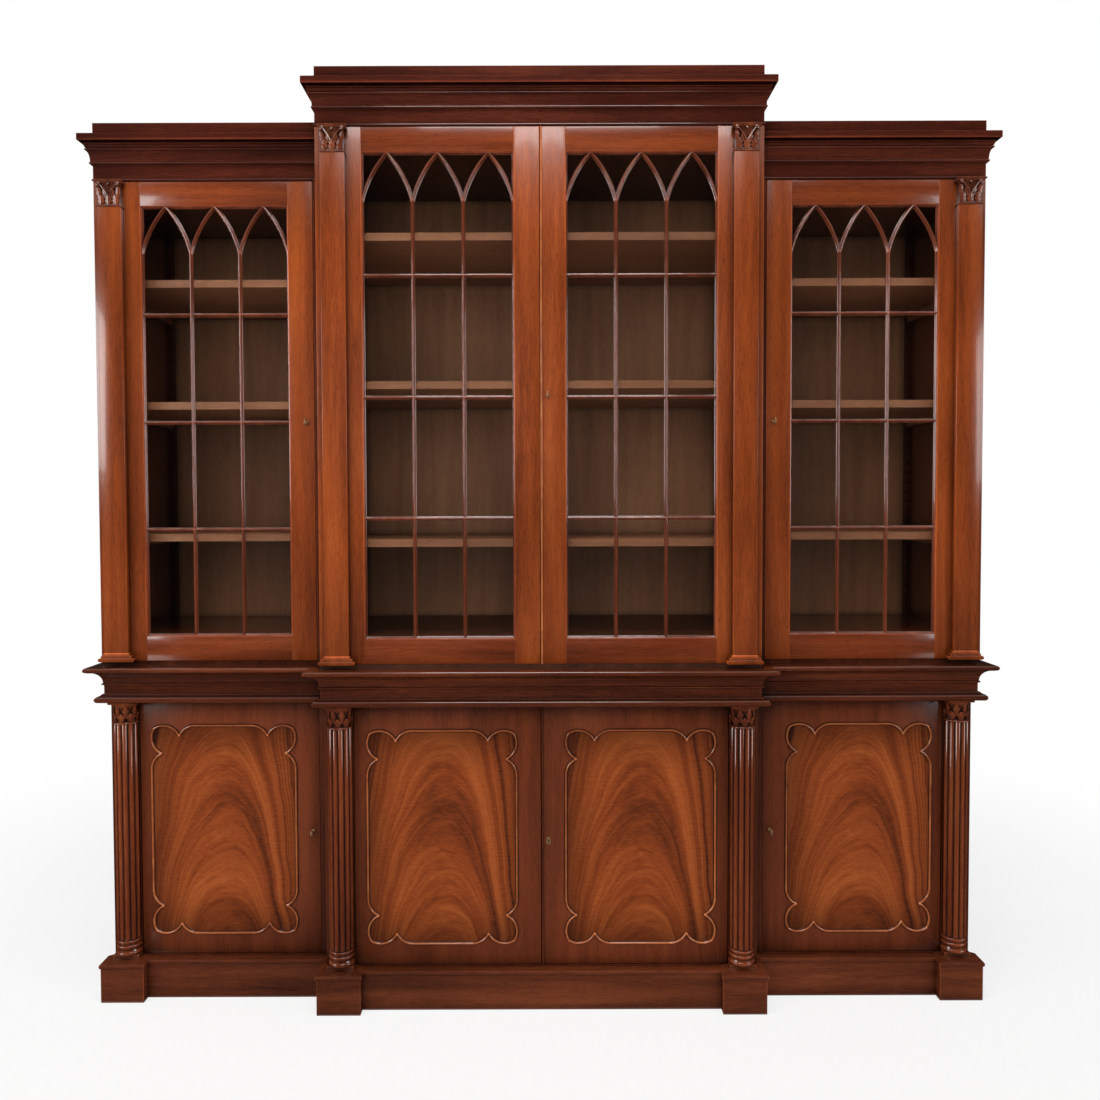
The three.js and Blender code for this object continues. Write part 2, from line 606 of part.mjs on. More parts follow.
const upperCase = (bay) => {
  const front = upperDoorLine + bay.step + doorThickness + doorPlay;
  const top = corniceBottom - bay.drop;
  const inLeft = bay.left + bay.inLeft;
  const inRight = bay.right - bay.inRight;
  const shell = cutAll(block(bay.left, bay.right, front, bodyDepth, waistTop, top), [
    block(inLeft, inRight, front - overrun, bodyDepth + overrun, upperFloorTop, top - thinBoard),
    block(inLeft, inRight, bodyDepth - backBoard - clearance, bodyDepth + overrun,
      waistTop - overrun, top - thinBoard),
    block(inLeft, inRight, front + board, bodyDepth + overrun, waistTop - overrun,
      upperFloorTop - thinBoard),
  ]);
  const footFront = upperDoorLine + bay.step + footInset;
  const parts = [shell, block(bay.left, bay.right, footFront, front + overrun, waistTop, doorFoot)];
  if (bay.sign !== 0) {
    const stile = bay.sign > 0 ? [bay.left, inLeft] : [inRight, bay.right];
    parts.push(block(stile[0], stile[1], upperDoorLine + bay.step, front + overrun, waistTop, top));
  }
  const rackFront = front + rackInset + rackWidth;
  const rackBack = bodyDepth - backBoard - clearance * 2 - rackWidth;
  const sides = [[inLeft - clearance, inLeft + rackThickness], [inRight - rackThickness,
    inRight + clearance]];
  sides.forEach(([x0, x1]) => {
    parts.push(rack(bay, x0, x1, rackFront, 1, top - thinBoard + clearance));
    parts.push(rack(bay, x0, x1, rackBack, -1, top - thinBoard + clearance));
  });
  const doors = upperDoors.filter((door) => door.drop === bay.drop);
  const own = doors.filter((door) => bay.sign === 0 || door.sign === bay.sign);
  const cuts = pivotHoles(own, doorFoot - pinLength - pinPlay, doorFoot + overrun);
  if (bay.sign !== 0) {
    cuts.push(mortise(bay.sign, own[0].inner - meeting - boltThrow - pinPlay, own[0].inner + overrun,
      own[0].face, upperWingLockHeight));
  }
  return cutAll(unite(parts), cuts);
};
bays.forEach((bay) => addPiece(`upper_case_${bay.name}`, upperCase(bay), mahogany));

// Backs of the upper cases
bays.forEach((bay) => {
  const panel = block(bay.left + bay.inLeft + clearance, bay.right - bay.inRight - clearance,
    bodyDepth - backBoard, bodyDepth, waistTop, corniceBottom - bay.drop - thinBoard - clearance);
  addPiece(`upper_back_${bay.name}`, panel, backWood);
});

// Shelves: each is notched round the racks and stands on two bearers lodged in the teeth
const shelfFrontGap = 9; // behind the case's front edge
const shelfLevels = ['low', 'middle', 'high'];
const lodgedShare = 1 / 3; // of a tooth's depth
const shelf = (bay, seat) => {
  const caseFront = upperDoorLine + bay.step + doorThickness + doorPlay;
  const left = bay.left + bay.inLeft + clearance;
  const right = bay.right - bay.inRight - clearance;
  const frontEdge = caseFront + shelfFrontGap;
  const backEdge = bodyDepth - backBoard - clearance;
  const bottom = upperFloorTop + bay.firstSeat + seat * toothPitch;
  const underside = bottom + bearer;
  const rackFront = caseFront + rackInset + rackWidth;
  const rackBack = backEdge - clearance - rackWidth;
  const notch = rackThickness + clearance;
  const deck = cutAll(block(left, right, frontEdge, backEdge, underside, underside + board),
    [[left - overrun, left + notch], [right - notch, right + overrun]].flatMap(([x0, x1]) => [
      block(x0, x1, frontEdge - overrun, rackFront + clearance, underside - overrun,
        underside + board + overrun),
      block(x0, x1, rackBack - clearance, backEdge + overrun, underside - overrun,
        underside + board + overrun),
    ]));
  const seatDepth = toothDepth * lodgedShare;
  const ends = [[left, left + rackThickness], [right - rackThickness, right]];
  return unite([deck, ...ends.map(([x0, x1]) => run([
    [rackFront - seatDepth, bottom + clearance], [rackBack + seatDepth, bottom + clearance],
    [rackBack + seatDepth, bottom + bearer / 2], [rackBack - clearance, underside + clearance],
    [rackFront + clearance, underside + clearance], [rackFront - seatDepth, bottom + bearer / 2],
  ], x0, x1))]);
};
bays.forEach((bay) => bay.shelves.forEach((seat, i) => {
  addPiece(`shelf_${bay.name}_${shelfLevels[i]}`, shelf(bay, seat), shelfWood);
}));

// Cornices: frieze, cove, corona and blocking course, with a well above
const corniceRise = 153;
const corniceBeadShare = 0.02; // how far the lowest bead stands proud
const corniceShares = [
  [nose, [0, 0], [corniceBeadShare, 0.04]],
  [straight, [0, 0.04], [0, 0.255]],
  [nose, [0.013, 0.275], [0.046, 0.327]],
  [cove, [0.033, 0.327], [0.085, 0.497]],
  [ovolo, [0.085, 0.536], [0.124, 0.634]],
  [straight, [0.183, 0.64], [0.183, 0.752]],
  [straight, [0, 0.752], [0, 1]],
];
const cornice = (bay) => {
  const c = corniceBottom - bay.drop;
  const profile = profileOf(corniceShares, c, corniceRise);
  const ends = [bay.sign > 0 ? 0 : 1, bay.sign < 0 ? 0 : 1];
  const front = upperDoorLine + bay.step;
  const body = moulded(profile, bay.left, bay.right, front, bodyDepth, ends);
  const doors = upperDoors.filter(({ drop }) => drop === bay.drop);
  const own = doors.filter(({ sign }) => bay.sign === 0 || sign === bay.sign);
  // A wing's blocking course stops against the bead that returns along the middle case
  const besideBead = caseHalf + corniceRise * corniceBeadShare + clearance;
  return cutAll(body, [
    block(bay.left + board, bay.right - board, front + board, bodyDepth - board, c + board,
      c + corniceRise + overrun),
    ...(bay.sign === 0 ? [] : [block(bay.sign * (caseHalf - overrun), bay.sign * besideBead,
      front - overrun, bodyDepth + overrun, corniceBottom - clearance, corniceBottom + corniceRise)]),
    ...pivotHoles(own, c - overrun, c + pinLength + pinPlay),
  ]);
};
bays.forEach((bay) => addPiece(`cornice_${bay.name}`, cornice(bay), mahogany));

// Glazed doors: frame, lancet bars, glass and planted pilaster
const bottomRail = 66.5;
const topRail = 63.5;
const glassBottom = upperDoorBottom + bottomRail;
const glassLip = 12; // wood in front of the glass
const glassRebate = 8;
const glassThickness = 3;
const glazedFrame = (door) => {
  const { name, sign, inner, outer, face, drop, glassInner, glassOuter } = door;
  const top = upperDoorTop - drop;
  const glassTop = top - topRail;
  const back = face + doorThickness;
  const frame = cutAll(block(sign * inner, sign * outer, face, back, upperDoorBottom, top), [
    block(sign * glassInner, sign * glassOuter, face - overrun, back + overrun, glassBottom, glassTop),
    block(sign * (glassInner - glassRebate), sign * (glassOuter + glassRebate), face + glassLip,
      back + overrun, glassBottom - glassRebate, glassTop + glassRebate),
  ]);
  const parts = [frame, ...pins(door, upperDoorBottom, top)];
  if (name === 'middle_right') {
    parts.push(meetingBead(face, upperDoorBottom, top));
  }
  const whole = unite(parts);
  if (name === 'middle_left') {
    return whole.subtract(receiver(door, upperMiddleLockHeight));
  }
  return cutAll(whole, lockCuts(door, drop > 0 ? upperWingLockHeight : upperMiddleLockHeight));
};

const barWidth = 9;
const barFrontInset = 2;
const lancetRise = 117;
const lightCount = 3; // in a row
const lightRowCount = 4;
const lancetSteps = 5;
const glazingBars = (door) => {
  const { sign, face, drop, glassInner, glassOuter } = door;
  const x0 = Math.min(sign * glassInner, sign * glassOuter) + clearance;
  const x1 = Math.max(sign * glassInner, sign * glassOuter) - clearance;
  const z0 = glassBottom + clearance;
  const z1 = upperDoorTop - drop - topRail - clearance;
  const front = face + barFrontInset;
  const back = face + glassLip;
  const light = (x1 - x0) / lightCount;
  const spring = z1 - lancetRise;
  const span = light / 2;
  const radius = (span ** 2 + lancetRise ** 2) / (2 * span);
  const rows = (z1 - z0) / lightRowCount;
  const half = barWidth / 2;
  const uprights = [1, 2].map((i) => block(x0 + i * light - half, x0 + i * light + half, front, back,
    z0, spring + clearance));
  const levels = [1, 2, 3].map((i) => block(x0, x1, front, back, z0 + i * rows - half,
    z0 + i * rows + half));
  const arches = [0, 1, 2].flatMap((i) => [1, -1].map((turn) => {
    const springX = x0 + (i + (turn > 0 ? 0 : 1)) * light;
    const apex = Math.asin(lancetRise / radius);
    const band = [radius + half, radius - half].map((r) => Array.from({ length: lancetSteps + 1 },
      (_, k) => {
        const angle = apex * k / lancetSteps;
        return [springX + turn * (radius - r * Math.cos(angle)), spring + r * Math.sin(angle)];
      }));
    return facing([...band[0], ...band[1].reverse()], front, back);
  }));
  return unite([...uprights, ...levels, ...arches]).intersect(block(x0, x1, front, back, z0, z1));
};

const pane = ({ sign, face, drop, glassInner, glassOuter }) => block(
  sign * (glassInner - glassRebate + clearance), sign * (glassOuter + glassRebate - clearance),
  face + glassLip + clearance, face + glassLip + clearance + glassThickness,
  glassBottom - glassRebate + clearance, upperDoorTop - drop - topRail + glassRebate - clearance);

const pilasterWidth = 63.5;
const pilasterProud = 18;
const pilasterInset = 48.5; // from the door's outer edge to the pilaster's middle
const pilasterBase = 23.5;
const pilasterCapital = 72;
const pilasterBaseShares = [
  [nose, [0.51, 0], [0.68, 0.426]],
  [nose, [0.255, 0.468], [0.383, 0.723]],
  [straight, [0.128, 0.766], [0.128, 1]],
];
const pilasterCapitalShares = [
  [nose, [0, 0], [0.028, 0.069]],
  [cove, [-0.014, 0.278], [0.042, 0.806]],
  [straight, [0.0625, 0.833], [0.0625, 1]],
];
const baseFrontShare = 1 / 4; // how much of its projection the base has to the front
const capitalFrontShare = 3 / 4;
const pilaster = ({ sign, outer, face, drop }) => {
  const middle = sign * (outer - pilasterInset);
  const x0 = middle - pilasterWidth / 2;
  const x1 = middle + pilasterWidth / 2;
  const front = face - pilasterProud;
  const foot = upperDoorBottom;
  const capitalFoot = upperDoorTop - drop - clearance - pilasterCapital;
  const base = profileOf(pilasterBaseShares, foot, pilasterBase);
  const capital = profileOf(pilasterCapitalShares, capitalFoot, pilasterCapital);
  return unite([
    block(x0, x1, front, face, foot + clearance, capitalFoot + clearance),
    moulded(base, x0, x1, front, face, [1, 1], baseFrontShare),
    moulded(capital, x0, x1, front, face, [1, 1], capitalFrontShare),
  ]);
};
upperDoors.forEach((door) => {
  addPiece(`upper_door_${door.name}`, glazedFrame(door), mahogany);
  addPiece(`glazing_bars_${door.name}`, glazingBars(door), mahogany);
  addPiece(`glass_${door.name}`, pane(door), clearGlass);
  addPiece(`pilaster_${door.name}`, pilaster(door), mahogany);
});

// Locks: a bolt in each locked door, and a key that throws it
const bolt = ({ sign, inner, face }, height) => block(sign * (inner + boltBack),
  sign * (inner + boltBack + boltLength), face + boltDepth - boltThickness / 2,
  face + boltDepth + boltThickness / 2, height - boltHeight / 2, height + boltHeight / 2);
const keyRadius = 2.3;
const bowRadius = 9;
const bowThickness = 2.6;
const keyReach = 16; // from the door's face to the bow
const collarRadius = 4;
const collarHeight = 3;
const keySides = 8;
const key = ({ sign, inner, face }, height) => {
  const x = sign * (inner + keyOffset);
  const end = boltDepth - boltThickness / 2 - clearance;
  const collarFoot = clearance * 2;
  const collarTop = collarFoot + collarHeight;
  const shank = turnedForward([
    [0, -end], [keyRadius, -end], [keyRadius, collarFoot], [collarRadius, collarFoot],
    [collarRadius, collarTop], [keyRadius, collarTop], [keyRadius, keyReach], [0, keyReach],
  ], keySides, x, face, height);
  const rim = [
    [0, -bowThickness / 2], [bowRadius, -bowThickness / 2], [bowRadius, bowThickness / 2],
    [0, bowThickness / 2],
  ];
  const bow = new THREE.LatheGeometry(rim.map(([r, w]) => new THREE.Vector2(r, w)), keySides);
  bow.rotateZ(Math.PI / 2);
  bow.translate(x, face - keyReach - bowRadius + clearance, height);
  return shank.add(solidOf(bow));
};
[...upperDoors, ...lowerDoors].forEach((door) => {
  const row = upperDoors.includes(door) ? 'upper' : 'lower';
  if (door.name === 'middle_left') return;
  const isMiddle = door.name === 'middle_right';
  const height = row === 'upper'
    ? (isMiddle ? upperMiddleLockHeight : upperWingLockHeight)
    : (isMiddle ? lowerMiddleLockHeight : lowerLockHeight);
  addPiece(`lock_bolt_${row}_${door.name}`, bolt(door, height), steel);
  if (row === 'upper' || !isMiddle) {
    addPiece(`key_${row}_${door.name}`, key(door, height), brass);
  }
});

// Escutcheon of the lower middle lock, over its keyhole
const escutcheonWidth = 12;
const escutcheonHeight = 21;
const escutcheonThickness = 1;
const escutcheonSteps = 10;
const lockedDoor = lowerDoors.find(({ name }) => name === 'middle_right');
const oval = (width, height, x, z) => Array.from({ length: escutcheonSteps }, (_, i) => {
  const angle = i / escutcheonSteps * 2 * Math.PI;
  return [x + width / 2 * Math.cos(angle), z + height / 2 * Math.sin(angle)];
});
const lockX = lockedDoor.inner + keyOffset;
addPiece('escutcheon', facing(oval(escutcheonWidth, escutcheonHeight, lockX, lowerMiddleLockHeight),
  lockedDoor.face - escutcheonThickness, lockedDoor.face,
  [oval(keyHoleRadius * 2, keyHoleRadius * 2, lockX, lowerMiddleLockHeight)]), brass);

// The origin lies under the middle of the whole
const waistReach = 38;
working.position.y = -(bodyDepth + friezeLine - waistReach) / 2;
export default bookcase;
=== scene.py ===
"""Breakfront bookcase in polished mahogany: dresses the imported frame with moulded, turned and figured pieces."""
import math

import bpy
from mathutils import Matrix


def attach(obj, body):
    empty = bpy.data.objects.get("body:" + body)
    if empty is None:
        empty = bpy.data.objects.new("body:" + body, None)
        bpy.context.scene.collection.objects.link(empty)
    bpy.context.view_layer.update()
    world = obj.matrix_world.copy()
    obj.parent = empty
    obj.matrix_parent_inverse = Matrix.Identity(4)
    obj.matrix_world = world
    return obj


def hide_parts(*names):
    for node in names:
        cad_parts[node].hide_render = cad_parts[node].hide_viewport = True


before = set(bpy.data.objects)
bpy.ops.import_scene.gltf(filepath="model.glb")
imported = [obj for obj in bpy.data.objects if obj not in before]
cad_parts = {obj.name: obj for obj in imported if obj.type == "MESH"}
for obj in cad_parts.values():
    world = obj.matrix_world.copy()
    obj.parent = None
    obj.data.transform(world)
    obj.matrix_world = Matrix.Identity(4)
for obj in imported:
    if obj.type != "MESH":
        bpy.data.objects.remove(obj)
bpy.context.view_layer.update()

bl_info = {
    "name": "Breakfront bookcase",
    "version": (1, 0, 0),
    "blender": (4, 5, 0),
    "location": "View3D > Sidebar > Bookcase",
    "description": "Builds the mouldings, doors, columns and finishes of a breakfront bookcase",
    "category": "Object",
}

MM = 0.001
finishes = {}
ORIGIN_DEPTH = 250  # the frame's origin lies this far behind the front of the middle plinth blocks
HANDS = (("left", -1), ("right", 1))

# Sizes shared with the frame, in millimetres from the middle line, the front and the floor
MIDDLE_HALF = 574
BODY_HALF = 1169
CASE_HALF = 580
UPPER_HALF = 1184
BODY_DEPTH = 523
WING_STEP = 60
FRIEZE_LINE = 15
RAIL_LINE = 25
UPPER_DOOR_LINE = 34
LOWER_DOOR_LINE = 50
WING_DROP = 115.5
WAIST_BOTTOM = 809.5
WAIST_TOP = 907
CORNICE_BOTTOM = 2311
BLOCK_TOP = 118
DOOR_THICKNESS = 22
GLASS_LINE = 12  # from the face of a glazed door back to the rebate for its glass
LOWER_DOOR_LOW, LOWER_DOOR_TOP = 109.3, 800
UPPER_DOOR_LOW = 917.5
PARTITION = 603
COLUMN_INSET = 42
PIVOT_INSET = 4.5
KEY_INSET = 18

# Name, side, inner and outer edge, face, height of the lock; then the inset of the bead
LOWER_DOORS = [(f"{hand}_wing", s, PARTITION + 1, BODY_HALF - 78, LOWER_DOOR_LINE + WING_STEP, 447, 30.5)
               for hand, s in HANDS]
LOWER_DOORS += [(f"middle_{hand}", s, 1, MIDDLE_HALF - 78, LOWER_DOOR_LINE, 441, 34.5) for hand, s in HANDS]
# The same; then the drop of the top and the width of the hinge stile
UPPER_DOORS = [(f"{hand}_wing", s, PARTITION + 1, UPPER_HALF, UPPER_DOOR_LINE + WING_STEP, 1555, WING_DROP, 123)
               for hand, s in HANDS]
UPPER_DOORS += [(f"middle_{hand}", s, 1, CASE_HALF, UPPER_DOOR_LINE, 1618, 0, 119) for hand, s in HANDS]
# Name, side, left and right edge, step back and drop
BAYS = [("middle", 0, -CASE_HALF, CASE_HALF, 0, 0),
        ("left_wing", -1, -UPPER_HALF, -CASE_HALF - 0.5, WING_STEP, WING_DROP),
        ("right_wing", 1, CASE_HALF + 0.5, UPPER_HALF, WING_STEP, WING_DROP)]
# Section of the bead that covers the gap between two leaves
MEETING_BEAD = [(-2.5, -0.2), (-2.5, 1.2), (-1.6, 2.5), (0, 3), (1.6, 2.5), (2.5, 1.2), (2.5, -0.2)]


class BookcaseSizes(bpy.types.PropertyGroup):
    """Sizes of what the frame leaves to the joiner and the carver."""

    easing: bpy.props.FloatProperty(
        name="Easing", description="Radius of the sanded edges of boards", default=0.0008, unit="LENGTH")
    bar_width: bpy.props.FloatProperty(
        name="Glazing bar", description="Width of the bars of the glazed doors", default=0.0104, unit="LENGTH")
    bead_width: bpy.props.FloatProperty(
        name="Door bead", description="Width of the planted bead of the panelled doors", default=0.005,
        unit="LENGTH")
    reeds: bpy.props.IntProperty(
        name="Reeds", description="Reeds round each column", default=12)
    curve_steps: bpy.props.IntProperty(
        name="Curve steps", description="Steps in each curve of a moulding", default=8)


class BookcaseColours(bpy.types.PropertyGroup):
    """Colours of the finishes, as sRGB hex values."""

    mahogany_dark: bpy.props.StringProperty(
        name="Mahogany, dark", description="Dark streaks of the mahogany", default="#441a08")
    mahogany_mid: bpy.props.StringProperty(
        name="Mahogany, middle", description="Body colour of the mahogany", default="#7c3612")
    mahogany_light: bpy.props.StringProperty(
        name="Mahogany, light", description="Light streaks of the mahogany", default="#9a4b1c")
    flame_dark: bpy.props.StringProperty(
        name="Flame, dark", description="Dark feathers of the figured doors", default="#421b0c")
    flame_mid: bpy.props.StringProperty(
        name="Flame, middle", description="Body colour of the figured doors", default="#7b3614")
    flame_light: bpy.props.StringProperty(
        name="Flame, light", description="Light feathers of the figured doors", default="#a05222")
    shelf: bpy.props.StringProperty(
        name="Shelf edge", description="Colour of the shelves", default="#8b583c")
    back: bpy.props.StringProperty(
        name="Back boards", description="Colour of the back boards", default="#8f6145")
    brass: bpy.props.StringProperty(
        name="Brass", description="Colour of the keys and escutcheon", default="#c8a070")


def sizes():
    return bpy.context.scene.bookcase_sizes


def colours():
    return bpy.context.scene.bookcase_colours


def linear(text):
    """A linear colour from an sRGB hex value."""
    parts = [int(text[i:i + 2], 16) / 255 for i in (1, 3, 5)]
    return [c / 12.92 if c <= 0.04045 else ((c + 0.055) / 1.055) ** 2.4 for c in parts] + [1.0]


# ---------------------------------------------------------------- modelling

def at(x, y, z):
    """A place in the row frame, in metres, from millimetres in the frame of the sizes above."""
    return (x * MM, (y - ORIGIN_DEPTH) * MM, z * MM)


def span(s, inner, outer):
    """Left and right edge of what lies between two distances from the middle line, on side s."""
    return sorted((s * inner, s * outer))


def clear_selection():
    if bpy.context.object and bpy.context.object.mode != "OBJECT":
        leave_edit()
    bpy.ops.object.select_all(action="DESELECT")


def only(obj):
    """Leaves only obj selected and active."""
    clear_selection()
    obj.select_set(True)
    bpy.context.view_layer.objects.active = obj


def leave_edit():
    bpy.ops.object.mode_set(mode="OBJECT")


def edit_all():
    bpy.ops.object.mode_set(mode="EDIT")
    bpy.ops.mesh.select_all(action="SELECT")


def placed(obj, **place):
    """Sets obj's location, turn or scale, and applies them to its mesh."""
    for key, value in place.items():
        setattr(obj, key, value)
    only(obj)
    bpy.ops.object.transform_apply(location=True, rotation=True, scale=True)
    return obj


def blank(kind, place, scale=(1, 1, 1), **settings):
    """A mesh primitive at a place, to be worked on."""
    clear_selection()
    getattr(bpy.ops.mesh, f"primitive_{kind}_add")(location=place, **settings)
    return placed(bpy.context.object, scale=scale)


def extruded(step):
    bpy.ops.mesh.extrude_region_move(TRANSFORM_OT_translate={"value": step})


def modified(obj, kind, **settings):
    """Adds a modifier with its settings and applies it."""
    only(obj)
    modifier = obj.modifiers.new(kind.lower(), kind)
    for key, value in settings.items():
        setattr(modifier, key, value)
    bpy.ops.object.modifier_apply(modifier=modifier.name)
    return obj


def clean(obj, angle=30):
    """Merges doubles, turns the faces outward and smooths all but the arrises."""
    only(obj)
    edit_all()
    bpy.ops.mesh.remove_doubles(threshold=0.00001)
    bpy.ops.mesh.dissolve_degenerate(threshold=0.00001)
    bpy.ops.mesh.select_all(action="SELECT")
    bpy.ops.mesh.normals_make_consistent(inside=False)
    leave_edit()
    bpy.ops.object.shade_smooth_by_angle(angle=math.radians(angle))
    return obj


def select_where(obj, test):
    """Selects in edit mode the vertices of obj whose place passes a test, and nothing else."""
    leave_edit()
    mesh = obj.data
    for vertex in mesh.vertices:
        vertex.select = test(vertex.co)
    for edge in mesh.edges:
        edge.select = all(mesh.vertices[i].select for i in edge.vertices)
    for face in mesh.polygons:
        face.select = False
    bpy.ops.object.mode_set(mode="EDIT")
    bpy.ops.mesh.select_mode(type="VERT")


def raw(x0, x1, y0, y1, z0, z1):
    """A plain box, as a blank or to cut with."""
    return blank("cube", at((x0 + x1) / 2, (y0 + y1) / 2, (z0 + z1) / 2),
                 ((x1 - x0) * MM, (y1 - y0) * MM, (z1 - z0) * MM), size=1)


def board(x0, x1, y0, y1, z0, z1, ease=None):
    """A board between two corners, its arrises eased."""
    width = sizes().easing if ease is None else ease * MM
    box = raw(x0, x1, y0, y1, z0, z1)
    return clean(modified(box, "BEVEL", width=width, segments=2, limit_method="ANGLE"), 50)


def cut(obj, *tools, operation="DIFFERENCE"):
    """Cuts the tools out of obj, or joins them to it, and removes the tools."""
    for tool in tools:
        modified(obj, "BOOLEAN", operation=operation, object=tool, solver="EXACT")
        bpy.data.objects.remove(tool)
    return obj


def lock_mortise(name, s, inner, face, height):
    """The room for a bolt in the lock stile of a leaf, or for its throw in the leaf that it locks."""
    deep = 12 if name == "middle_left" else 48.5
    return raw(*span(s, inner - 5, inner + deep), face + 6.7, face + 15.3, height - 5.3, height + 5.3)


def joined(*objs):
    """One object of several that touch."""
    clear_selection()
    for obj in objs:
        obj.select_set(True)
    bpy.context.view_layer.objects.active = objs[0]
    bpy.ops.object.join()
    return bpy.context.object


def settled(obj, name, body, finish, instead=()):
    """Names a finished piece, gives it its finish and its body, and hides what it stands for."""
    placed(obj)
    obj.name = name
    obj.data.name = name
    obj.data.materials.clear()
    obj.data.materials.append(finishes.get(finish, finish))
    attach(obj, body)
    if instead:
        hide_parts(*instead)
    return obj


def curved(start, end, along, up):
    """Points from start to end, each coordinate's share given by a function of the angle 0 to 90 degrees."""
    n = sizes().curve_steps
    (p0, z0), (p1, z1) = start, end
    angles = [math.pi / 2 * i / n for i in range(n + 1)]
    return [(p0 + (p1 - p0) * along(a), z0 + (z1 - z0) * up(a)) for a in angles]


def nose(start, end):
    """A curve that leaves start, swells to the second projection, and ends above start."""
    return curved(start, end, lambda a: math.sin(2 * a), lambda a: (1 - math.cos(2 * a)) / 2)


def cove(start, end):
    """A hollow that leaves start upright."""
    return curved(start, end, lambda a: 1 - math.cos(a), math.sin)


def ovolo(start, end):
    """A swelling that leaves start level."""
    return curved(start, end, math.sin, lambda a: 1 - math.cos(a))


def drawn_up(obj, rings):
    """Extrudes the flat face obj through rings of width, depth and centre, resizing it at each."""
    wide, deep, centre = rings[0]
    edit_all()
    for new_wide, new_deep, goal in rings[1:]:
        extruded([g - c for g, c in zip(goal, centre)])
        bpy.ops.transform.resize(value=(new_wide / wide, new_deep / deep, 1), center_override=goal)
        wide, deep, centre = new_wide, new_deep, goal
    leave_edit()
    return clean(obj)


def stacked(profile, x0, x1, front, back, ends=(1, 1), front_share=1.0):
    """A moulded block that follows a profile of projection and height, mitred round its ends."""
    rings = []
    for p, z in profile:
        a0, a1, b0 = x0 - p * ends[0], x1 + p * ends[1], front - p * front_share
        rings.append((a1 - a0, back - b0, at((a0 + a1) / 2, (b0 + back) / 2, z)))
    wide, deep, centre = rings[0]
    return drawn_up(blank("plane", centre, (wide * MM, deep * MM, 1), size=1), rings)


def turned(profile, x, y, segments=48):
    """A turned piece that follows a profile of radius and height."""
    rings = [(r, r, at(x, y, z)) for r, z in profile]
    disc = blank("circle", rings[0][2], vertices=segments, radius=profile[0][0] * MM, fill_type="NGON")
    return drawn_up(disc, rings)


def flat_curve(name, lines, loop, **settings):
    """A curve object of lines of (x, z) points, lying flat."""
    data = bpy.data.curves.new(name, "CURVE")
    data.dimensions = "2D"
    for key, value in settings.items():
        setattr(data, key, value)
    for line in lines:
        spline = data.splines.new("POLY")
        spline.points.add(len(line) - 1)
        for point, (a, b) in zip(spline.points, line):
            point.co = (a * MM, b * MM, 0, 1)
        spline.use_cyclic_u = loop
    obj = bpy.data.objects.new(name, data)
    bpy.context.collection.objects.link(obj)
    return obj


def upright_mesh(curve, y):
    """The mesh of a flat curve, stood up at a depth y."""
    curve.rotation_euler = (math.pi / 2, 0, 0)
    curve.location = at(0, y, 0)
    only(curve)
    bpy.ops.object.convert(target="MESH")
    return placed(bpy.context.object)


def swept(paths, section, y):
    """Runs a section of (across, forward) along paths of (x, z) that lie at a depth y."""
    profile = flat_curve("section", [section], True, fill_mode="NONE")
    path = flat_curve("path", paths, False, fill_mode="NONE", bevel_mode="OBJECT", bevel_object=profile,
                      use_fill_caps=True)
    obj = upright_mesh(path, y)
    bpy.data.objects.remove(profile)
    return clean(obj)


def plate(outline, y, thickness):
    """A flat plate of an (x, z) outline, from y back by its thickness."""
    half = thickness / 2
    return clean(upright_mesh(flat_curve("outline", [outline], True, fill_mode="BOTH", extrude=half * MM), y + half))


# ---------------------------------------------------------------- materials

def node(tree, kind, inputs=(), stops=(), **settings):
    """Adds a node with its settings, values or links for its inputs by name or in order, and a ramp's
    stops of (place, hex)."""
    made = tree.nodes.new("ShaderNode" + kind)
    for key, value in settings.items():
        setattr(made, key, value)
    for key, value in inputs.items() if isinstance(inputs, dict) else enumerate(inputs):
        if isinstance(value, bpy.types.Node):
            value = value.outputs[0]
        if isinstance(value, bpy.types.NodeSocket):
            tree.links.new(value, made.inputs[key])
        else:
            made.inputs[key].default_value = value
    if stops:
        elements = made.color_ramp.elements
        elements[0].position, elements[1].position = stops[0][0], stops[-1][0]
        for place, _ in stops[1:-1]:
            elements.new(place)
        for element, (_, text) in zip(elements, stops):
            element.color = linear(text)
    return made


def new_material(name):
    """An empty material, its tree and the place on the object that its patterns follow."""
    material = bpy.data.materials.new(name)
    material.use_nodes = True
    tree = material.node_tree
    tree.nodes.clear()
    return material, tree, node(tree, "TexCoord").outputs["Object"]


def polished(tree, tone, pores, gloss=0.24, coat=0.35, reach=0.02, wax=0.4, rub=1.6, relief=(0.06, 0.0004)):
    """Wood under a thin shellac polish, darkened by painted shade, with wax and dirt, in hollows as wide as reach
    and next to other parts, and lightened on its arrises, 3 mm wide, by wear and a painted highlight. Relief is
    the strength and the depth of the pores."""
    # Painted shade: ambient occlusion darkens hollows and places next to other parts, with wax and dirt there too.
    hollow = node(tree, "AmbientOcclusion", {"Distance": reach}, samples=6).outputs["AO"]
    hollow_shade_and_dirt = node(tree, "MapRange", [hollow, 0.35, 0.92, wax])
    # Painted highlight: the arrises are lightened, partly as wear.
    body = node(tree, "AmbientOcclusion", {"Distance": 0.003}, samples=6, inside=True).outputs["AO"]
    arris = node(tree, "MapRange", [body, 0.45, 0.85, rub])
    waxed = node(tree, "VectorMath", {0: tone, "Scale": hollow_shade_and_dirt}, operation="SCALE")
    tone_with_painted_light = node(tree, "VectorMath", {0: waxed, "Scale": arris}, operation="SCALE")
    bump = node(tree, "Bump", {"Height": pores, "Strength": relief[0], "Distance": relief[1]})
    shader = node(tree, "BsdfPrincipled", {
        "Base Color": tone_with_painted_light, "Roughness": gloss, "IOR": 1.5, "Coat Weight": coat, "Coat Roughness": 0.07,
        "Coat IOR": 1.5, "Normal": bump})
    node(tree, "OutputMaterial", {"Surface": shader})


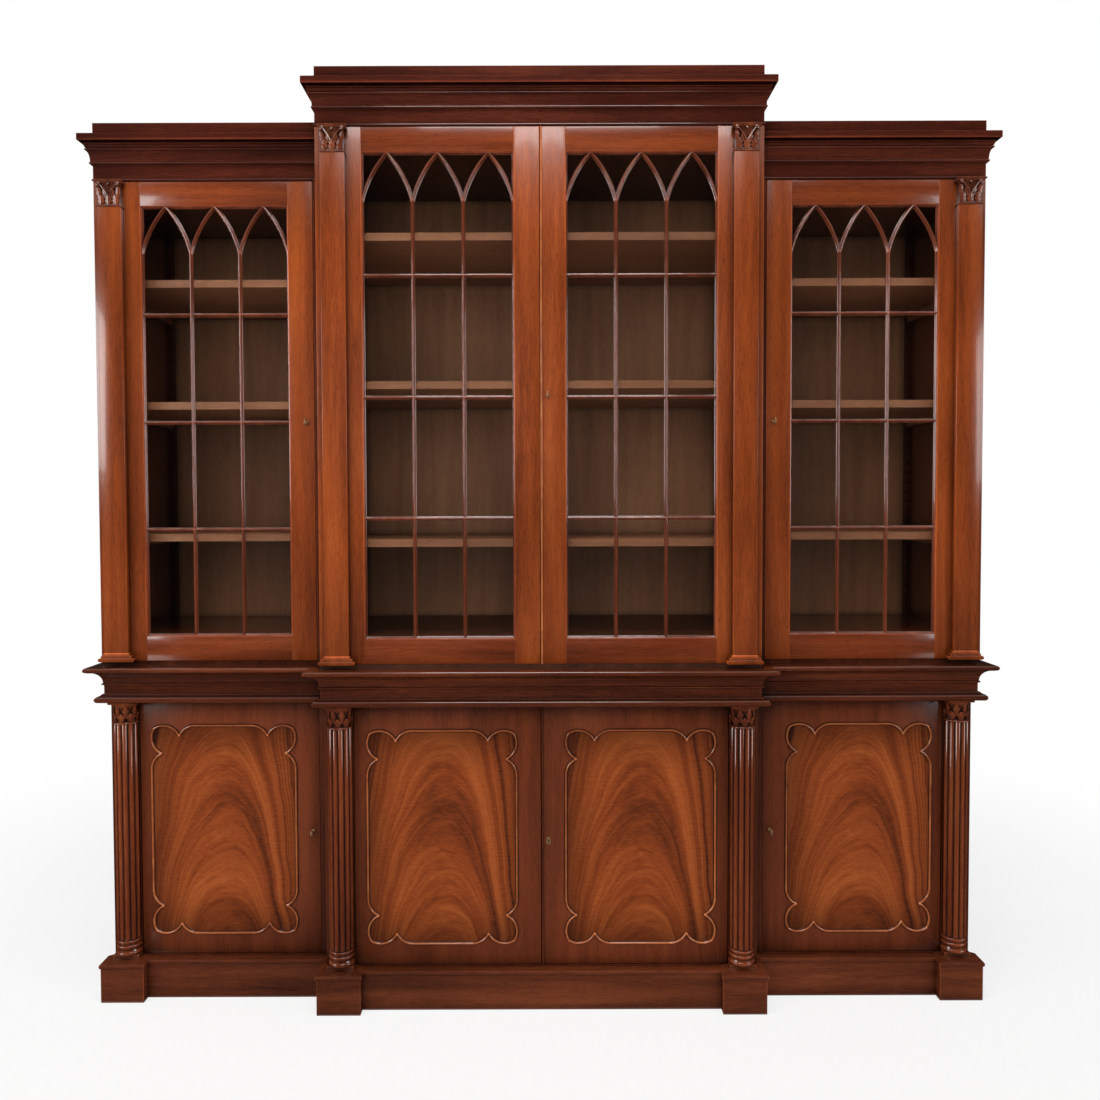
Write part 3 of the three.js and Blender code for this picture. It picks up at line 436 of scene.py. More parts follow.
# Mahogany, French polished: straight brown-red fibres with long open pores and slow ribbons, under a
# clear shellac that gives soft bright reflections. Ribbons are about 45 mm wide and strands 2.6 mm. Pores
# are 0.3 mm wide and drawn at 1 mm to show.
def mahogany(name, grain, stops, seed, contrast=1.0, **polish):
    material, tree, place = new_material(name)
    tone, pores = fibres(tree, place, grain, stops, seed, contrast)
    polished(tree, tone, pores, **polish)
    return material


def fibres(tree, place, grain, stops, seed, contrast):
    """The colour of straight grained wood and the height of its pores."""
    across = 14.0  # features are this many times longer than they are wide
    scale = [1.0 if axis == grain else across for axis in "xyz"]
    broad = node(tree, "Mapping", {"Vector": place, "Location": (seed, seed * 1.7, seed * 2.3), "Scale": scale})
    fine = node(tree, "Mapping", {"Vector": place, "Scale": [s * 9.0 for s in scale]})
    ribbons = node(tree, "TexNoise", {"Vector": broad, "Scale": 1.6, "Detail": 5.0, "Roughness": 0.55,
                                      "Distortion": 0.5})
    strands = node(tree, "TexNoise", {"Vector": fine, "Scale": 3.0, "Detail": 4.0, "Roughness": 0.6})
    pores = node(tree, "TexNoise", {"Vector": fine, "Scale": 7.0, "Detail": 2.0, "Roughness": 0.5})
    patches = node(tree, "TexNoise", {"Vector": place, "Scale": 2.2, "Detail": 1.0})
    blend = node(tree, "Mix", {"Factor": 0.35, "A": ribbons, "B": strands}, data_type="FLOAT")
    spread = 0.24 * contrast
    tone = node(tree, "ValToRGB", {"Fac": blend},
                [(0.5 - spread, stops[0]), (0.5, stops[1]), (0.5 + spread, stops[2])])
    pits = node(tree, "MapRange", [pores, 0.3, 0.42, 0.6])
    age = node(tree, "MapRange", [patches, 0.35, 0.65, 0.8, 1.1])
    shade = node(tree, "Math", [pits, age], operation="MULTIPLY")
    return node(tree, "VectorMath", {0: tone, "Scale": shade}, operation="SCALE"), pores


def edge_shade_and_toning(tree, tone, local, half_x, half_z, low):
    """The tone of a door, falling from full in the middle to low at its edges: painted shade, with old polish that
    is darker there.
    """
    parts = node(tree, "SeparateXYZ", {"Vector": local})
    for part, half in (("X", half_x), ("Z", half_z)):
        share = node(tree, "Math", [parts.outputs[part], half * MM], operation="DIVIDE")
        near = node(tree, "Math", [share], operation="ABSOLUTE")
        fall = node(tree, "MapRange", [near, 0.5, 1.05, 1.0, low], interpolation_type="SMOOTHSTEP")
        tone = node(tree, "VectorMath", {0: tone, "Scale": fall}, operation="SCALE")
    return tone


# Mahogany turned and reeded by hand. Painted shade darkens the valleys between the reeds and the hollows
# of the turning, with wax and dirt there too.
def column_wood(name, x, y, stops, seed):
    material, tree, place = new_material(name)
    local = node(tree, "Mapping", {"Vector": place, "Location": (-x * MM, -(y - ORIGIN_DEPTH) * MM, 0)})
    level = node(tree, "VectorMath", [local, (1, 1, 0)], operation="MULTIPLY")
    radius = node(tree, "VectorMath", [level], operation="LENGTH").outputs["Value"]
    tone, pores = fibres(tree, place, "z", stops, seed, 1.0)
    # Painted shade: the valleys between the reeds fall to 0.12 of the tone.
    valley_shade = node(tree, "MapRange", [radius, 28.8 * MM, 32.2 * MM, 0.12])
    reeds_with_painted_shade = node(tree, "VectorMath", {0: tone, "Scale": valley_shade}, operation="SCALE")
    polished(tree, reeds_with_painted_shade, pores, gloss=0.17, coat=0.6, wax=0.45, rub=1.15)
    return material


# Straight mahogany veneer round the figured panels, darkened toward the door's edges by painted shade, with old
# polish there too.
def border_veneer(name, x, z, half_x, half_z, stops, seed):
    material, tree, place = new_material(name)
    local = node(tree, "Mapping", {"Vector": place, "Location": (-x * MM, 0, -z * MM)})
    tone, pores = fibres(tree, place, "z", stops, seed, 1.2)
    polished(tree, edge_shade_and_toning(tree, tone, local, half_x, half_z, 0.82), pores, reach=0.07, wax=0.25)
    return material


# Crotch mahogany veneer: cut where a branch leaves the trunk, so that its feathers nest in arches, with
# lustre that changes from streak to streak, under the same polish. Its zones are about 200 mm long, its
# feathers 77 mm, its streaks 13 mm and its cross ripple 5 mm. Neighbouring doors have neighbouring leaves
# of one stack, so the figure hardly changes from door to door.
def crotch_veneer(name, x, z, half_x, half_z, stops, seed):
    material, tree, place = new_material(name)
    local = node(tree, "Mapping", {"Vector": place, "Location": (-x * MM, 0, -z * MM)})
    drift = node(tree, "Mapping", {"Vector": local, "Location": (seed, 0, seed), "Scale": (1, 0, 1)})
    sway = node(tree, "TexNoise", {"Vector": drift, "Scale": 4.0, "Detail": 2.0, "Roughness": 0.5})
    shift = node(tree, "VectorMath", [sway.outputs["Color"], (0.5, 0.5, 0.5)], operation="SUBTRACT")
    warp = node(tree, "VectorMath", [shift, (0.05, 0.0, 0.07)], operation="MULTIPLY")
    parts = node(tree, "SeparateXYZ", {"Vector": node(tree, "VectorMath", [local, warp], operation="ADD")})
    side, height = parts.outputs["X"], parts.outputs["Z"]
    # The arches fall by 5.6 s² + 130 s⁴ at a distance s from the crown, and are steeper on the right
    steep = node(tree, "Math", [side, 1.5], operation="MULTIPLY")
    reach = node(tree, "Math", [side, steep], operation="MAXIMUM")
    square = node(tree, "Math", [reach, reach], operation="MULTIPLY")
    curve = node(tree, "Math", [square, 130.0, 5.6], operation="MULTIPLY_ADD")
    fall = node(tree, "Math", [square, curve], operation="MULTIPLY")
    arch = node(tree, "CombineXYZ", {"X": node(tree, "Math", [side, 0.22], operation="MULTIPLY"),
                                     "Y": node(tree, "Math", [height, fall], operation="ADD"), "Z": seed})
    bands = node(tree, "TexNoise", {"Vector": arch, "Scale": 13.0, "Detail": 4.0, "Roughness": 0.55})
    streaks = node(tree, "TexNoise", {"Vector": arch, "Scale": 75.0, "Detail": 3.0, "Roughness": 0.6})
    zones = node(tree, "TexNoise", {"Vector": arch, "Scale": 5.0, "Detail": 1.0})
    cross = node(tree, "Mapping", {"Vector": local, "Scale": (45, 0, 200)})
    ripple = node(tree, "TexNoise", {"Vector": cross, "Scale": 1.0, "Detail": 2.0})
    broad = node(tree, "Mix", {"Factor": 0.45, "A": bands, "B": zones}, data_type="FLOAT")
    close = node(tree, "Mix", {"Factor": 0.35, "A": streaks, "B": ripple}, data_type="FLOAT")
    blend = node(tree, "Mix", {"Factor": 0.34, "A": broad, "B": close}, data_type="FLOAT")
    tone = node(tree, "ValToRGB", {"Fac": blend}, [(0.38, stops[0]), (0.5, stops[1]), (0.65, stops[2])])
    # Painted shade: the figure darkens toward the door's edges, to 0.45 of its tone.
    shaded = edge_shade_and_toning(tree, tone, local, half_x * 1.15, half_z * 1.05, 0.45)
    polished(tree, shaded, streaks, gloss=0.22, coat=0.4, reach=0.03, wax=0.55, rub=1.0, relief=(0.03, 0.0003))
    return material


# Old window glass: clear, faintly green, with a slow ripple. Light reaches the shelves through it.
def window_glass(name):
    material, tree, place = new_material(name)
    tint = linear("#fafbf9")
    ripple = node(tree, "TexNoise", {"Vector": place, "Scale": 7.0, "Detail": 1.0})
    bump = node(tree, "Bump", {"Height": ripple, "Strength": 0.25, "Distance": 0.002})
    clear = node(tree, "BsdfPrincipled", {"Base Color": tint, "Roughness": 0.0, "IOR": 1.5,
                                          "Transmission Weight": 1.0, "Normal": bump})
    open_way = node(tree, "BsdfTransparent", {"Color": tint})
    rays = node(tree, "LightPath").outputs
    through = node(tree, "Math", [rays["Is Shadow Ray"], rays["Is Diffuse Ray"]], operation="MAXIMUM")
    node(tree, "OutputMaterial", {"Surface": node(tree, "MixShader", [through, clear, open_way])})
    return material


# Brass or steel fittings, cast and filed, dulled by handling.
def metal(name, colour, roughness):
    material, tree, place = new_material(name)
    wear = node(tree, "TexNoise", {"Vector": place, "Scale": 260.0, "Detail": 3.0})
    rough = node(tree, "MapRange", [wear, 0.3, 0.7, roughness - 0.08, roughness + 0.12])
    bright = linear(colour)
    dull = [c * 0.6 for c in bright[:3]] + [1]
    tone = node(tree, "Mix", {"Factor": wear, 6: dull, 7: bright}, data_type="RGBA")
    bump = node(tree, "Bump", {"Height": wear, "Strength": 0.1, "Distance": 0.0002})
    shader = node(tree, "BsdfPrincipled", {"Base Color": tone.outputs[2], "Metallic": 0.75, "Roughness": rough,
                                           "Normal": bump})
    node(tree, "OutputMaterial", {"Surface": shader})
    return material


def make_finishes():
    c = colours()
    finishes.update(
        rail=mahogany("mahogany_rails", "x", ("#421809", "#6a2d13", "#8a421d"), 1.0, wax=0.3, rub=2.2),
        stile=mahogany("mahogany_stiles", "z", (c.mahogany_dark, c.mahogany_mid, c.mahogany_light), 2.0,
                       wax=0.3, rub=2.6),
        moulding=mahogany("mahogany_mouldings", "x", ("#2c110a", "#4e2212", "#70381f"), 9.0,
                          gloss=0.17, coat=0.7, reach=0.05, wax=0.22, rub=3.2),
        plinth=mahogany("mahogany_plinth", "x", ("#30130a", "#592915", "#763b20"), 9.5, rub=3.0),
        # Painted shade: the cornices are a darker copy of the moulding wood, for the shade they stand in.
        cornice=mahogany("mahogany_cornices_painted_shade", "x", ("#220d08", "#41190f", "#5e2a1a"), 3.0,
                         gloss=0.17, coat=0.7, reach=0.03, wax=0.15, rub=3.0),
        case=mahogany("mahogany_case", "z", ("#321409", "#532310", "#6c351b"), 5.2, reach=0.05, wax=0.25),
        bars=mahogany("mahogany_bars", "z", ("#3c1a10", "#5e2c1b", "#7c422c"), 5.0,
                      gloss=0.15, coat=0.8, reach=0.012, wax=0.3, rub=1.9),
        # Painted highlight: the beads are a lighter wood than the doors, for the glints along them.
        bead=mahogany("mahogany_beads_painted_highlight", "x", ("#6b2f18", "#94502c", "#b4713f"), 5.5,
                      gloss=0.13, coat=1.0, reach=0.004, wax=0.6, rub=1.7),
        # Painted shade: the near-black wood of the strip that stands for the shadow beside the beads.
        quirk=mahogany("mahogany_waxed_dark", "z", ("#160804", "#28110a", "#3a1a10"), 6.5, gloss=0.3, rub=1.0),
        inside=mahogany("mahogany_inside", "z", ("#2a140c", "#4e2817", "#683a24"), 4.0, gloss=0.45, coat=0.0),
        carved=mahogany("mahogany_carved", "z", ("#260d07", "#542614", "#804428"), 8.0,
                        gloss=0.2, coat=0.5, wax=0.08, rub=1.7),
        shelf=mahogany("shelf_wood", "x", ("#6a3c27", c.shelf, "#a4704f"), 6.0, 1.4,
                       gloss=0.4, coat=0.1, wax=0.6, rub=1.2),
        back=mahogany("back_boards", "z", ("#664431", c.back, "#a67957"), 7.0, 1.3, gloss=0.55, coat=0.0),
        glass=window_glass("window_glass"),
        brass=metal("cast_brass", c.brass, 0.42),
        steel=metal("filed_steel", "#8a8780", 0.38))


# ---------------------------------------------------------------- pieces

class BOOKCASE_OT_frame(bpy.types.Operator):
    """Finish the cases, backs, shelves, glass and bolts of the frame"""

    bl_idname = "bookcase.frame"
    bl_label = "Finish the frame"

    # How a node's name starts, and its finish; the first that fits is taken
    rows = (("upper_case_middle", "inside"), (("upper_case", "lower_case"), "case"), ("upper_back", "back"),
            (("shelf", "lower_shelf"), "shelf"), ("glass_", "glass"), ("lock_bolt", "steel"),
            (("key_", "escutcheon"), "brass"), (("cornice", "waist", "plinth"), "moulding"), ("", "stile"))

    def execute(self, context):
        make_finishes()
        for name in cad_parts:
            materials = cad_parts[name].data.materials
            materials.clear()
            materials.append(finishes[next(finish for start, finish in self.rows if name.startswith(start))])
        return {"FINISHED"}


class BOOKCASE_OT_lower_doors(bpy.types.Operator):
    """Model the four panelled doors with their scalloped beads and flame veneers"""

    bl_idname = "bookcase.lower_doors"
    bl_label = "Panelled doors"

    lock_stile, bead_low, bead_top = 64.5, 165.5, 737  # the bead's box on a door

    def corner(self):
        """The bead's centre line round one corner, as arcs of (u, v) inward from the corner."""
        r, far, near = 47, 119, 33  # radius of the lobes, and where their centres lie along the edge
        half = (far - near) / 2
        cusp = math.asin(math.sqrt(r ** 2 - half ** 2) / r)
        total = near + r
        tip = (total - math.sqrt(total ** 2 - 2 * (near ** 2))) / 2
        lean = math.atan2(tip - r, tip - near)

        def arc(cx, start, end, n=16):
            return [(cx + r * math.cos(start + (end - start) * i / n),
                     r + r * math.sin(start + (end - start) * i / n)) for i in range(n + 1)]

        first = [arc(far, -math.pi / 2, cusp - math.pi), arc(near, -cusp, lean)]
        return first + [[(v, u) for u, v in reversed(line)] for line in reversed(first)]

    def bead_lines(self, x0, x1, z0, z1):
        """The bead's runs and arcs in order round the door."""
        arcs = self.corner()
        corners = [[[turn(u, v) for u, v in line] for line in arcs] for turn in (
            lambda u, v: (x0 + u, z0 + v), lambda u, v: (x0 + v, z1 - u),
            lambda u, v: (x1 - u, z1 - v), lambda u, v: (x1 - v, z0 + u))]
        lines = []
        for here, following in zip(corners, corners[1:] + corners[:1]):
            lines += here + [[here[-1][-1], following[0][0]]]
        return lines

    def execute(self, context):
        c = colours()
        half = sizes().bead_width / MM / 2
        arch = [(-half * math.cos(math.pi * i / 8), 2.0 + 2.8 * math.sin(math.pi * i / 8)) for i in range(9)]
        section = [(-half, -0.2)] + arch + [(half, -0.2)]
        for name, s, inner, outer, face, lock, inset in LOWER_DOORS:
            body = f"lower_door_{name}"
            slab = board(*span(s, inner, outer), face, face + DOOR_THICKNESS, LOWER_DOOR_LOW, LOWER_DOOR_TOP)
            cut(slab, lock_mortise(name, s, inner, face, lock))
            # Painted shade: each door is lightest here and darker toward its edges.
            mild = s * ((inner + outer) / 2 - 20)  # the brightest place, a little toward the middle line
            plain = border_veneer(f"border_veneer_{name}", mild, 460, (outer - inner) / 2 + 20, 345,
                                  ("#421e0e", "#70331a", "#864220"), inner * 0.01 + s)
            settled(slab, f"lower_door_slab_{name}", body, plain, [body])
            b0, b1 = span(s, inner + self.lock_stile, outer - inset)
            lines = self.bead_lines(b0, b1, self.bead_low, self.bead_top)
            outline = [point for line in lines for point in line[:-1]]
            crown = (b0 + b1) / 2 + 14
            figure = crotch_veneer(f"crotch_veneer_{name}", crown, 451, (b1 - b0) / 2, 286,
                                   (c.flame_dark, c.flame_mid, c.flame_light), 3.1 + inner * 0.0001)
            settled(plate(outline, face - 0.25, 0.5), f"lower_door_veneer_{name}", body, figure)
            settled(swept(lines, section, face), f"lower_door_bead_{name}", body, "bead")
            # Painted shade: a flat dark strip under the bead stands for the shadow on both sides of it.
            quirk = swept(lines, [(-4.8, -0.1), (-4.4, 0.5), (4.4, 0.5), (4.8, -0.1)], face)
            settled(quirk, f"lower_door_quirk_{name}", body, "quirk")
            if name == "middle_right":
                meeting = swept([[(3.5, LOWER_DOOR_LOW), (3.5, LOWER_DOOR_TOP)]], MEETING_BEAD, face)
                settled(meeting, "lower_meeting_bead", body, "case")
        return {"FINISHED"}


class BOOKCASE_OT_plinth(bpy.types.Operator):
    """Model the plinth: stepped rails and a moulded block under each column"""

    bl_idname = "bookcase.plinth"
    bl_label = "Plinth"

    def execute(self, context):
        rail = [(0, 0), (0, 92), (1.2, 92.4)] + nose((1.2, 93), (3.5, 104))[1:]
        block = rail[:-1] + [(1, 104.1), (-13, 108), (-22, 108.9), (-22.4, 109.6), (-22.6, 116.4),
                             (-23.6, BLOCK_TOP)]
        parts = []
        for half, step in ((MIDDLE_HALF, 0), (BODY_HALF, WING_STEP)):
            parts.append(stacked(rail, 10 - half, half - 10, RAIL_LINE + step, BODY_DEPTH))
        for _, s in HANDS:
            for half, step in ((MIDDLE_HALF, 0), (BODY_HALF, WING_STEP)):
                u = s * (half - COLUMN_INSET)
                parts.append(stacked(block, u - 57.5, u + 57.5, step, step + 115))
        whole = cut(parts[0], *parts[1:], operation="UNION")
        rebate = LOWER_DOOR_LINE - 4.3
        # The seat of the lower case, then the open cells under its floor
        tools = [raw(-574.3, 574.3, rebate, 530, 90, 125), raw(-1300, 1300, rebate + WING_STEP, 530, 90, 125),
                 raw(-542, 542, 137, 501, -5, 125)]
        tools += [raw(*span(s, 564, 1137), 197, 501, -5, 125) for _, s in HANDS]
        clean(cut(whole, *tools))
        settled(whole, "plinth_moulded", "root", "plinth", ["plinth"])
        return {"FINISHED"}


class BOOKCASE_OT_waist(bpy.types.Operator):
    """Model the moulded waist between the two bodies"""

    bl_idname = "bookcase.waist"
    bl_label = "Waist"

    def execute(self, context):
        b = WAIST_BOTTOM
        profile = nose((10, b), (19, b + 17.4)) + [(6, b + 17.5), (6, b + 21.5), (0.5, b + 22.4), (0, b + 23.5)]
        profile += [(0, b + 45), (1, b + 45.6)] + nose((1, b + 46.5), (5, b + 52))
        profile += cove((2, b + 52.4), (30, b + 83.5)) + [(31, b + 84)] + nose((31.5, b + 84.5), (38, WAIST_TOP))
        whole = stacked(profile, -MIDDLE_HALF, MIDDLE_HALF, FRIEZE_LINE, BODY_DEPTH)
        wings = stacked(profile, -BODY_HALF, BODY_HALF, FRIEZE_LINE + WING_STEP, BODY_DEPTH)
        cut(whole, wings, operation="UNION")
        # The hollows above the bays of the lower case
        tools = [raw(-552, 552, 72, 517, 800, 885)]
        tools += [raw(*span(s, 603, 1149), 132, 517, 800, 885) for _, s in HANDS]
        clean(cut(whole, *tools))
        settled(whole, "waist_moulded", "root", "moulding", ["waist"])
        return {"FINISHED"}


class BOOKCASE_OT_cornices(bpy.types.Operator):
    """Model the three cornices with their mitred returns and wells"""

    bl_idname = "bookcase.cornices"
    bl_label = "Cornices"

    def execute(self, context):
        for name, s, x0, x1, step, drop in BAYS:
            c = CORNICE_BOTTOM - drop
            profile = nose((0, c), (3, c + 6)) + [(0, c + 6.2), (0, c + 39), (1.4, c + 39.6), (1.6, c + 41.8)]
            profile += nose((2, c + 42), (7, c + 50)) + cove((5, c + 50.2), (13, c + 76))
            profile += nose((12.4, c + 76.6), (15.2, c + 81))[1:] + [(11.4, c + 81.6)]
            profile += ovolo((11.6, c + 82), (15.2, c + 90)) + nose((14.4, c + 91), (17, c + 95.4))
            profile += [(p, c + z) for p, z in (
                (14.6, 96), (14.8, 103), (25.4, 103.2), (25.6, 97.6), (27.4, 97.6), (28, 98.2), (28, 114.4),
                (27.4, 115), (0.6, 115.4), (0, 116), (0, 152.4), (-0.6, 153))]
            front = UPPER_DOOR_LINE + step
            whole = stacked(profile, x0, x1, front, BODY_DEPTH, (s <= 0, s >= 0))
            wall = 20
            tools = [raw(x0 + wall, x1 - wall, front + wall, BODY_DEPTH - wall, c + wall, c + 160)]
            if s:  # room for the end of the middle cornice
                tools.append(raw(*span(s, 570, 583.6), front - 40, 530, CORNICE_BOTTOM - 0.3, CORNICE_BOTTOM + 60))
            clean(cut(whole, *tools))
            settled(whole, f"cornice_moulded_{name}", "root", "cornice", [f"cornice_{name}"])
        return {"FINISHED"}


def leaf(x, y, z, width, height, curl, lobes=3, lean=0.0):
    """An acanthus leaf on a face that looks to the front: a grid narrowed into lobes row by row, ribbed
    column by column, and curled over at its tip."""
    rows, columns = 12, 8
    obj = blank("grid", (0, 0, 0), (width * MM, height * MM, 1), x_subdivisions=columns, y_subdivisions=rows,
                size=1)
    placed(obj, rotation_euler=(math.pi / 2, 0, 0))
    low = -height * MM / 2
    pitch = height * MM / rows
    for column in range(columns + 1):
        across = (column / columns - 0.5) * width * MM
        rib = -0.9 if column % 2 == 0 else 0.5
        rib -= 1.6 * (1 - abs(column / columns - 0.5) * 2)
        select_where(obj, lambda co: abs(co.x - across) < width * MM / columns / 3)
        bpy.ops.transform.translate(value=(0, rib * MM, 0))
    for row in range(rows + 1):
        t = row / rows
        select_where(obj, lambda co: abs(co.z - low - row * pitch) < pitch / 3)
        lobe = 1 - 0.3 * abs(math.sin(math.pi * lobes * t)) if t < 0.95 else 1
        share = (0.62 + 0.45 * math.sin(math.pi * min(t * 1.15, 1))) * lobe * (1 - t ** 5 * 0.72)
        bpy.ops.transform.resize(value=(share, 1, 1), center_override=(0, 0, 0))
        drop = curl * 0.75 * max(0, t - 0.8) / 0.2 * t
        bpy.ops.transform.translate(value=(lean * t * MM, -curl * t ** 3 * MM, -drop * MM))
    leave_edit()
    placed(obj, location=at(x, y, z + height / 2))
    modified(obj, "SOLIDIFY", thickness=1.3 * MM, offset=0)
    modified(obj, "SUBSURF", levels=1, render_levels=1)
    return clean(obj, 60)


def turned_about(obj, x, y, degrees):
    """obj turned about an upright line at x, y."""
    only(obj)
    bpy.context.scene.cursor.location = at(x, y, 0)
    bpy.ops.object.origin_set(type="ORIGIN_CURSOR")
    return placed(obj, rotation_euler=(0, 0, math.radians(degrees)))


class BOOKCASE_OT_columns(bpy.types.Operator):
    """Model the four engaged columns: turned base, reeded shaft, leaf capital and abacus"""

    bl_idname = "bookcase.columns"
    bl_label = "Columns"

    def shaft(self, x, y, radius, low, high):
        """A reeded shaft: a disc is drawn up, and its vertices are moved out to the crowns of the reeds."""
        reeds, per, depth, taper = sizes().reeds, 8, 4.6, 5
        obj = blank("circle", at(x, y, low), vertices=reeds * per, radius=(radius - depth) * MM,
                    fill_type="NGON")
        x_m, y_m, _ = at(x, y, 0)

        def swell(grow, z):
            for phase in range(per):
                reach = (radius - depth * (1 - math.sin(math.pi * phase / per))) / (radius - depth)
                reach = reach if grow else 1 / reach
                select_where(obj, lambda co: abs(co.z - z * MM) < 0.0001 and round(
                    math.atan2(co.y - y_m, co.x - x_m) / (2 * math.pi) * reeds * per) % per == phase)
                bpy.ops.transform.resize(value=(reach, reach, 1), center_override=at(x, y, z))
            select_where(obj, lambda co: False)
            leave_edit()
            for face in obj.data.polygons:
                face.select = abs(face.center.z - z * MM) < 0.0001 and abs(face.normal.z) > 0.9
            bpy.ops.object.mode_set(mode="EDIT")
            bpy.ops.mesh.select_mode(type="FACE")

        edit_all()
        extruded((0, 0, taper * MM))
        swell(True, low + taper)
        extruded((0, 0, (high - low - 2 * taper) * MM))
        extruded((0, 0, taper * MM))
        swell(False, high)
        leave_edit()
        return clean(obj, 50)

    def execute(self, context):
        x, y, b = 0, LOWER_DOOR_LINE - 2, BLOCK_TOP
        base = [(31, b), (33.4, b + 0.6)] + nose((33, b + 1), (35.2, b + 8.5)) + [(32.5, b + 9), (32.3, b + 10)]
        base += [(30.6, b + 12.5), (30.0, b + 15), (30.4, b + 17.5), (31.6, b + 18.6), (32, b + 19.4)]
        base += nose((32, b + 19.6), (34.4, b + 26.5)) + [(31, b + 27), (30.4, b + 30), (31.4, b + 33)]
        base += [(31.8, b + 33.6)] + nose((31.8, b + 34), (33.4, b + 39)) + [(30, b + 39.6), (29.6, b + 41)]
        bell = [(30, 747)] + nose((31.5, 748), (34.4, 752.5)) + [(29.5, 753), (28.6, 758), (28.4, 770)]
        bell += cove((28.4, 772), (32.5, 798))[1:] + [(33, 801)]
        abacus = 34.5
        parts = [turned(base, x, y, 64), self.shaft(x, y, 33, b + 39, 751), turned(bell, x, y, 64),
                 board(x - abacus, x + abacus, y - abacus, y + abacus, 802, WAIST_BOTTOM, 1.4)]
        for i in range(8):
            low = leaf(x, y - 28.5, 753, 21, 26, 3.6, lobes=2)
            high = leaf(x, y - 28.6, 764, 17, 37, 3.6, lobes=2)
            parts += [turned_about(low, x, y, 45 * i), turned_about(high, x, y, 45 * i + 22.5)]
        whole = joined(*parts)
        only(whole)
        edit_all()
        bpy.ops.mesh.bisect(plane_co=at(0, LOWER_DOOR_LINE - 0.2, 0), plane_no=(0, 1, 0),
                            clear_outer=True, use_fill=True)
        leave_edit()
        for hand, s in HANDS:
            for name, half, step in (("middle", MIDDLE_HALF, 0), ("wing", BODY_HALF, WING_STEP)):
                axis = s * (half - COLUMN_INSET)
                twin = whole.copy()
                twin.data = whole.data.copy()
                bpy.context.collection.objects.link(twin)
                placed(twin, location=(axis * MM, step * MM, 0))
                wood = column_wood(f"mahogany_column_{name}_{hand}", axis, y + step,
                                   ("#3c180b", "#6e3119", "#944e28"), half * 0.01 + s)
                settled(twin, f"column_reeded_{name}_{hand}", "root", wood, [f"column_{name}_{hand}"])
        bpy.data.objects.remove(whole)
        return {"FINISHED"}


class BOOKCASE_OT_glazed_doors(bpy.types.Operator):
    """Model the frames and lancet bars of the four glazed doors"""

    bl_idname = "bookcase.glazed_doors"
    bl_label = "Glazed doors"

    def execute(self, context):
        for name, s, inner, outer, face, lock, drop, hinge in UPPER_DOORS:
            body = f"upper_door_{name}"
            low, top = UPPER_DOOR_LOW, CORNICE_BOTTOM - 1.5 - drop
            g0, g1 = inner + 66, outer - hinge
            glass_low, glass_top = 984, top - 63.5
            back = face + DOOR_THICKNESS

            def piece(u0, u1, z0, z1):
                """A stile or rail, rebated for the glass."""
                rebate = raw(*span(s, g0 - 8, g1 + 8), face + GLASS_LINE, back + 5, glass_low - 8, glass_top + 8)
                return cut(board(*span(s, u0, u1), face, back, z0, z1), rebate)

            stiles = [piece(inner, g0, low, top), piece(g1, outer, low, top)]
            rails = [piece(g0, g1, low, glass_low), piece(g0, g1, glass_top, top)]
            cut(stiles[0], lock_mortise(name, s, inner, face, lock))
            pins = [turned([(2.4, z), (3, z + 0.8), (3, z + 5.6), (2.4, z + 6.4)], s * (outer - PIVOT_INSET),
                           face + PIVOT_INSET, 16) for z in (low - 6.2, top - 0.2)]
            settled(joined(*stiles, *pins), f"door_stiles_{name}", body, "stile", [body])
            settled(joined(*rails), f"door_rails_{name}", body, "rail")
            bars = self.bars(*span(s, g0, g1), glass_low, glass_top, face)
            settled(bars, f"lancet_bars_{name}", body, "bars", [f"glazing_bars_{name}"])
            if name == "middle_right":
                meeting = swept([[(3.5, low), (3.5, top)]], MEETING_BEAD, face)
                settled(meeting, "upper_meeting_bead", body, "bead")
        return {"FINISHED"}

    def bars(self, x0, x1, z0, z1, face):
        """Astragal bars: a rounded nose between two hollows on a flat back."""
        half = sizes().bar_width / MM / 2
        light = (x1 - x0) / 3
        rise, bow = 124, 8.8  # of the arcs of the lancets
        chord = math.hypot(light / 2, rise)
        radius = chord ** 2 / 8 / bow + bow / 2
        turned_by = math.asin(chord / 2 / radius)
        start = math.atan2(light / 2, rise) - turned_by
        side = [(half, 0), (half, 2.6), (half - 0.9, 3.2), (half - 1.9, 4.6), (half - 2.2, 6.4)]
        tip = [(2.3 * math.cos(math.pi * i / 8), 7.2 + 2.6 * math.sin(math.pi * i / 8)) for i in range(9)]
        section = side + tip + [(-a, b) for a, b in reversed(side)]
        spring = z1 - rise
        row = (z1 - z0) / 4
        lines = [[(x, z0), (x, z1)] for x in (x0, x1)] + [[(x0, z), (x1, z)] for z in (z0, z1)]
        lines += [[(x0 + i * light, z0), (x0 + i * light, spring)] for i in (1, 2)]
        lines += [[(x0, z0 + i * row), (x1, z0 + i * row)] for i in (1, 2, 3)]
        angles = [start + turned_by * k / 10 for k in range(21)]
        for i in range(3):
            for turn in (1, -1):
                foot = x0 + (i + (turn < 0)) * light
                lines.append([(foot + turn * radius * (math.cos(start) - math.cos(a)),
                               spring + radius * (math.sin(a) - math.sin(start))) for a in angles])
        return swept(lines, section, face + GLASS_LINE)


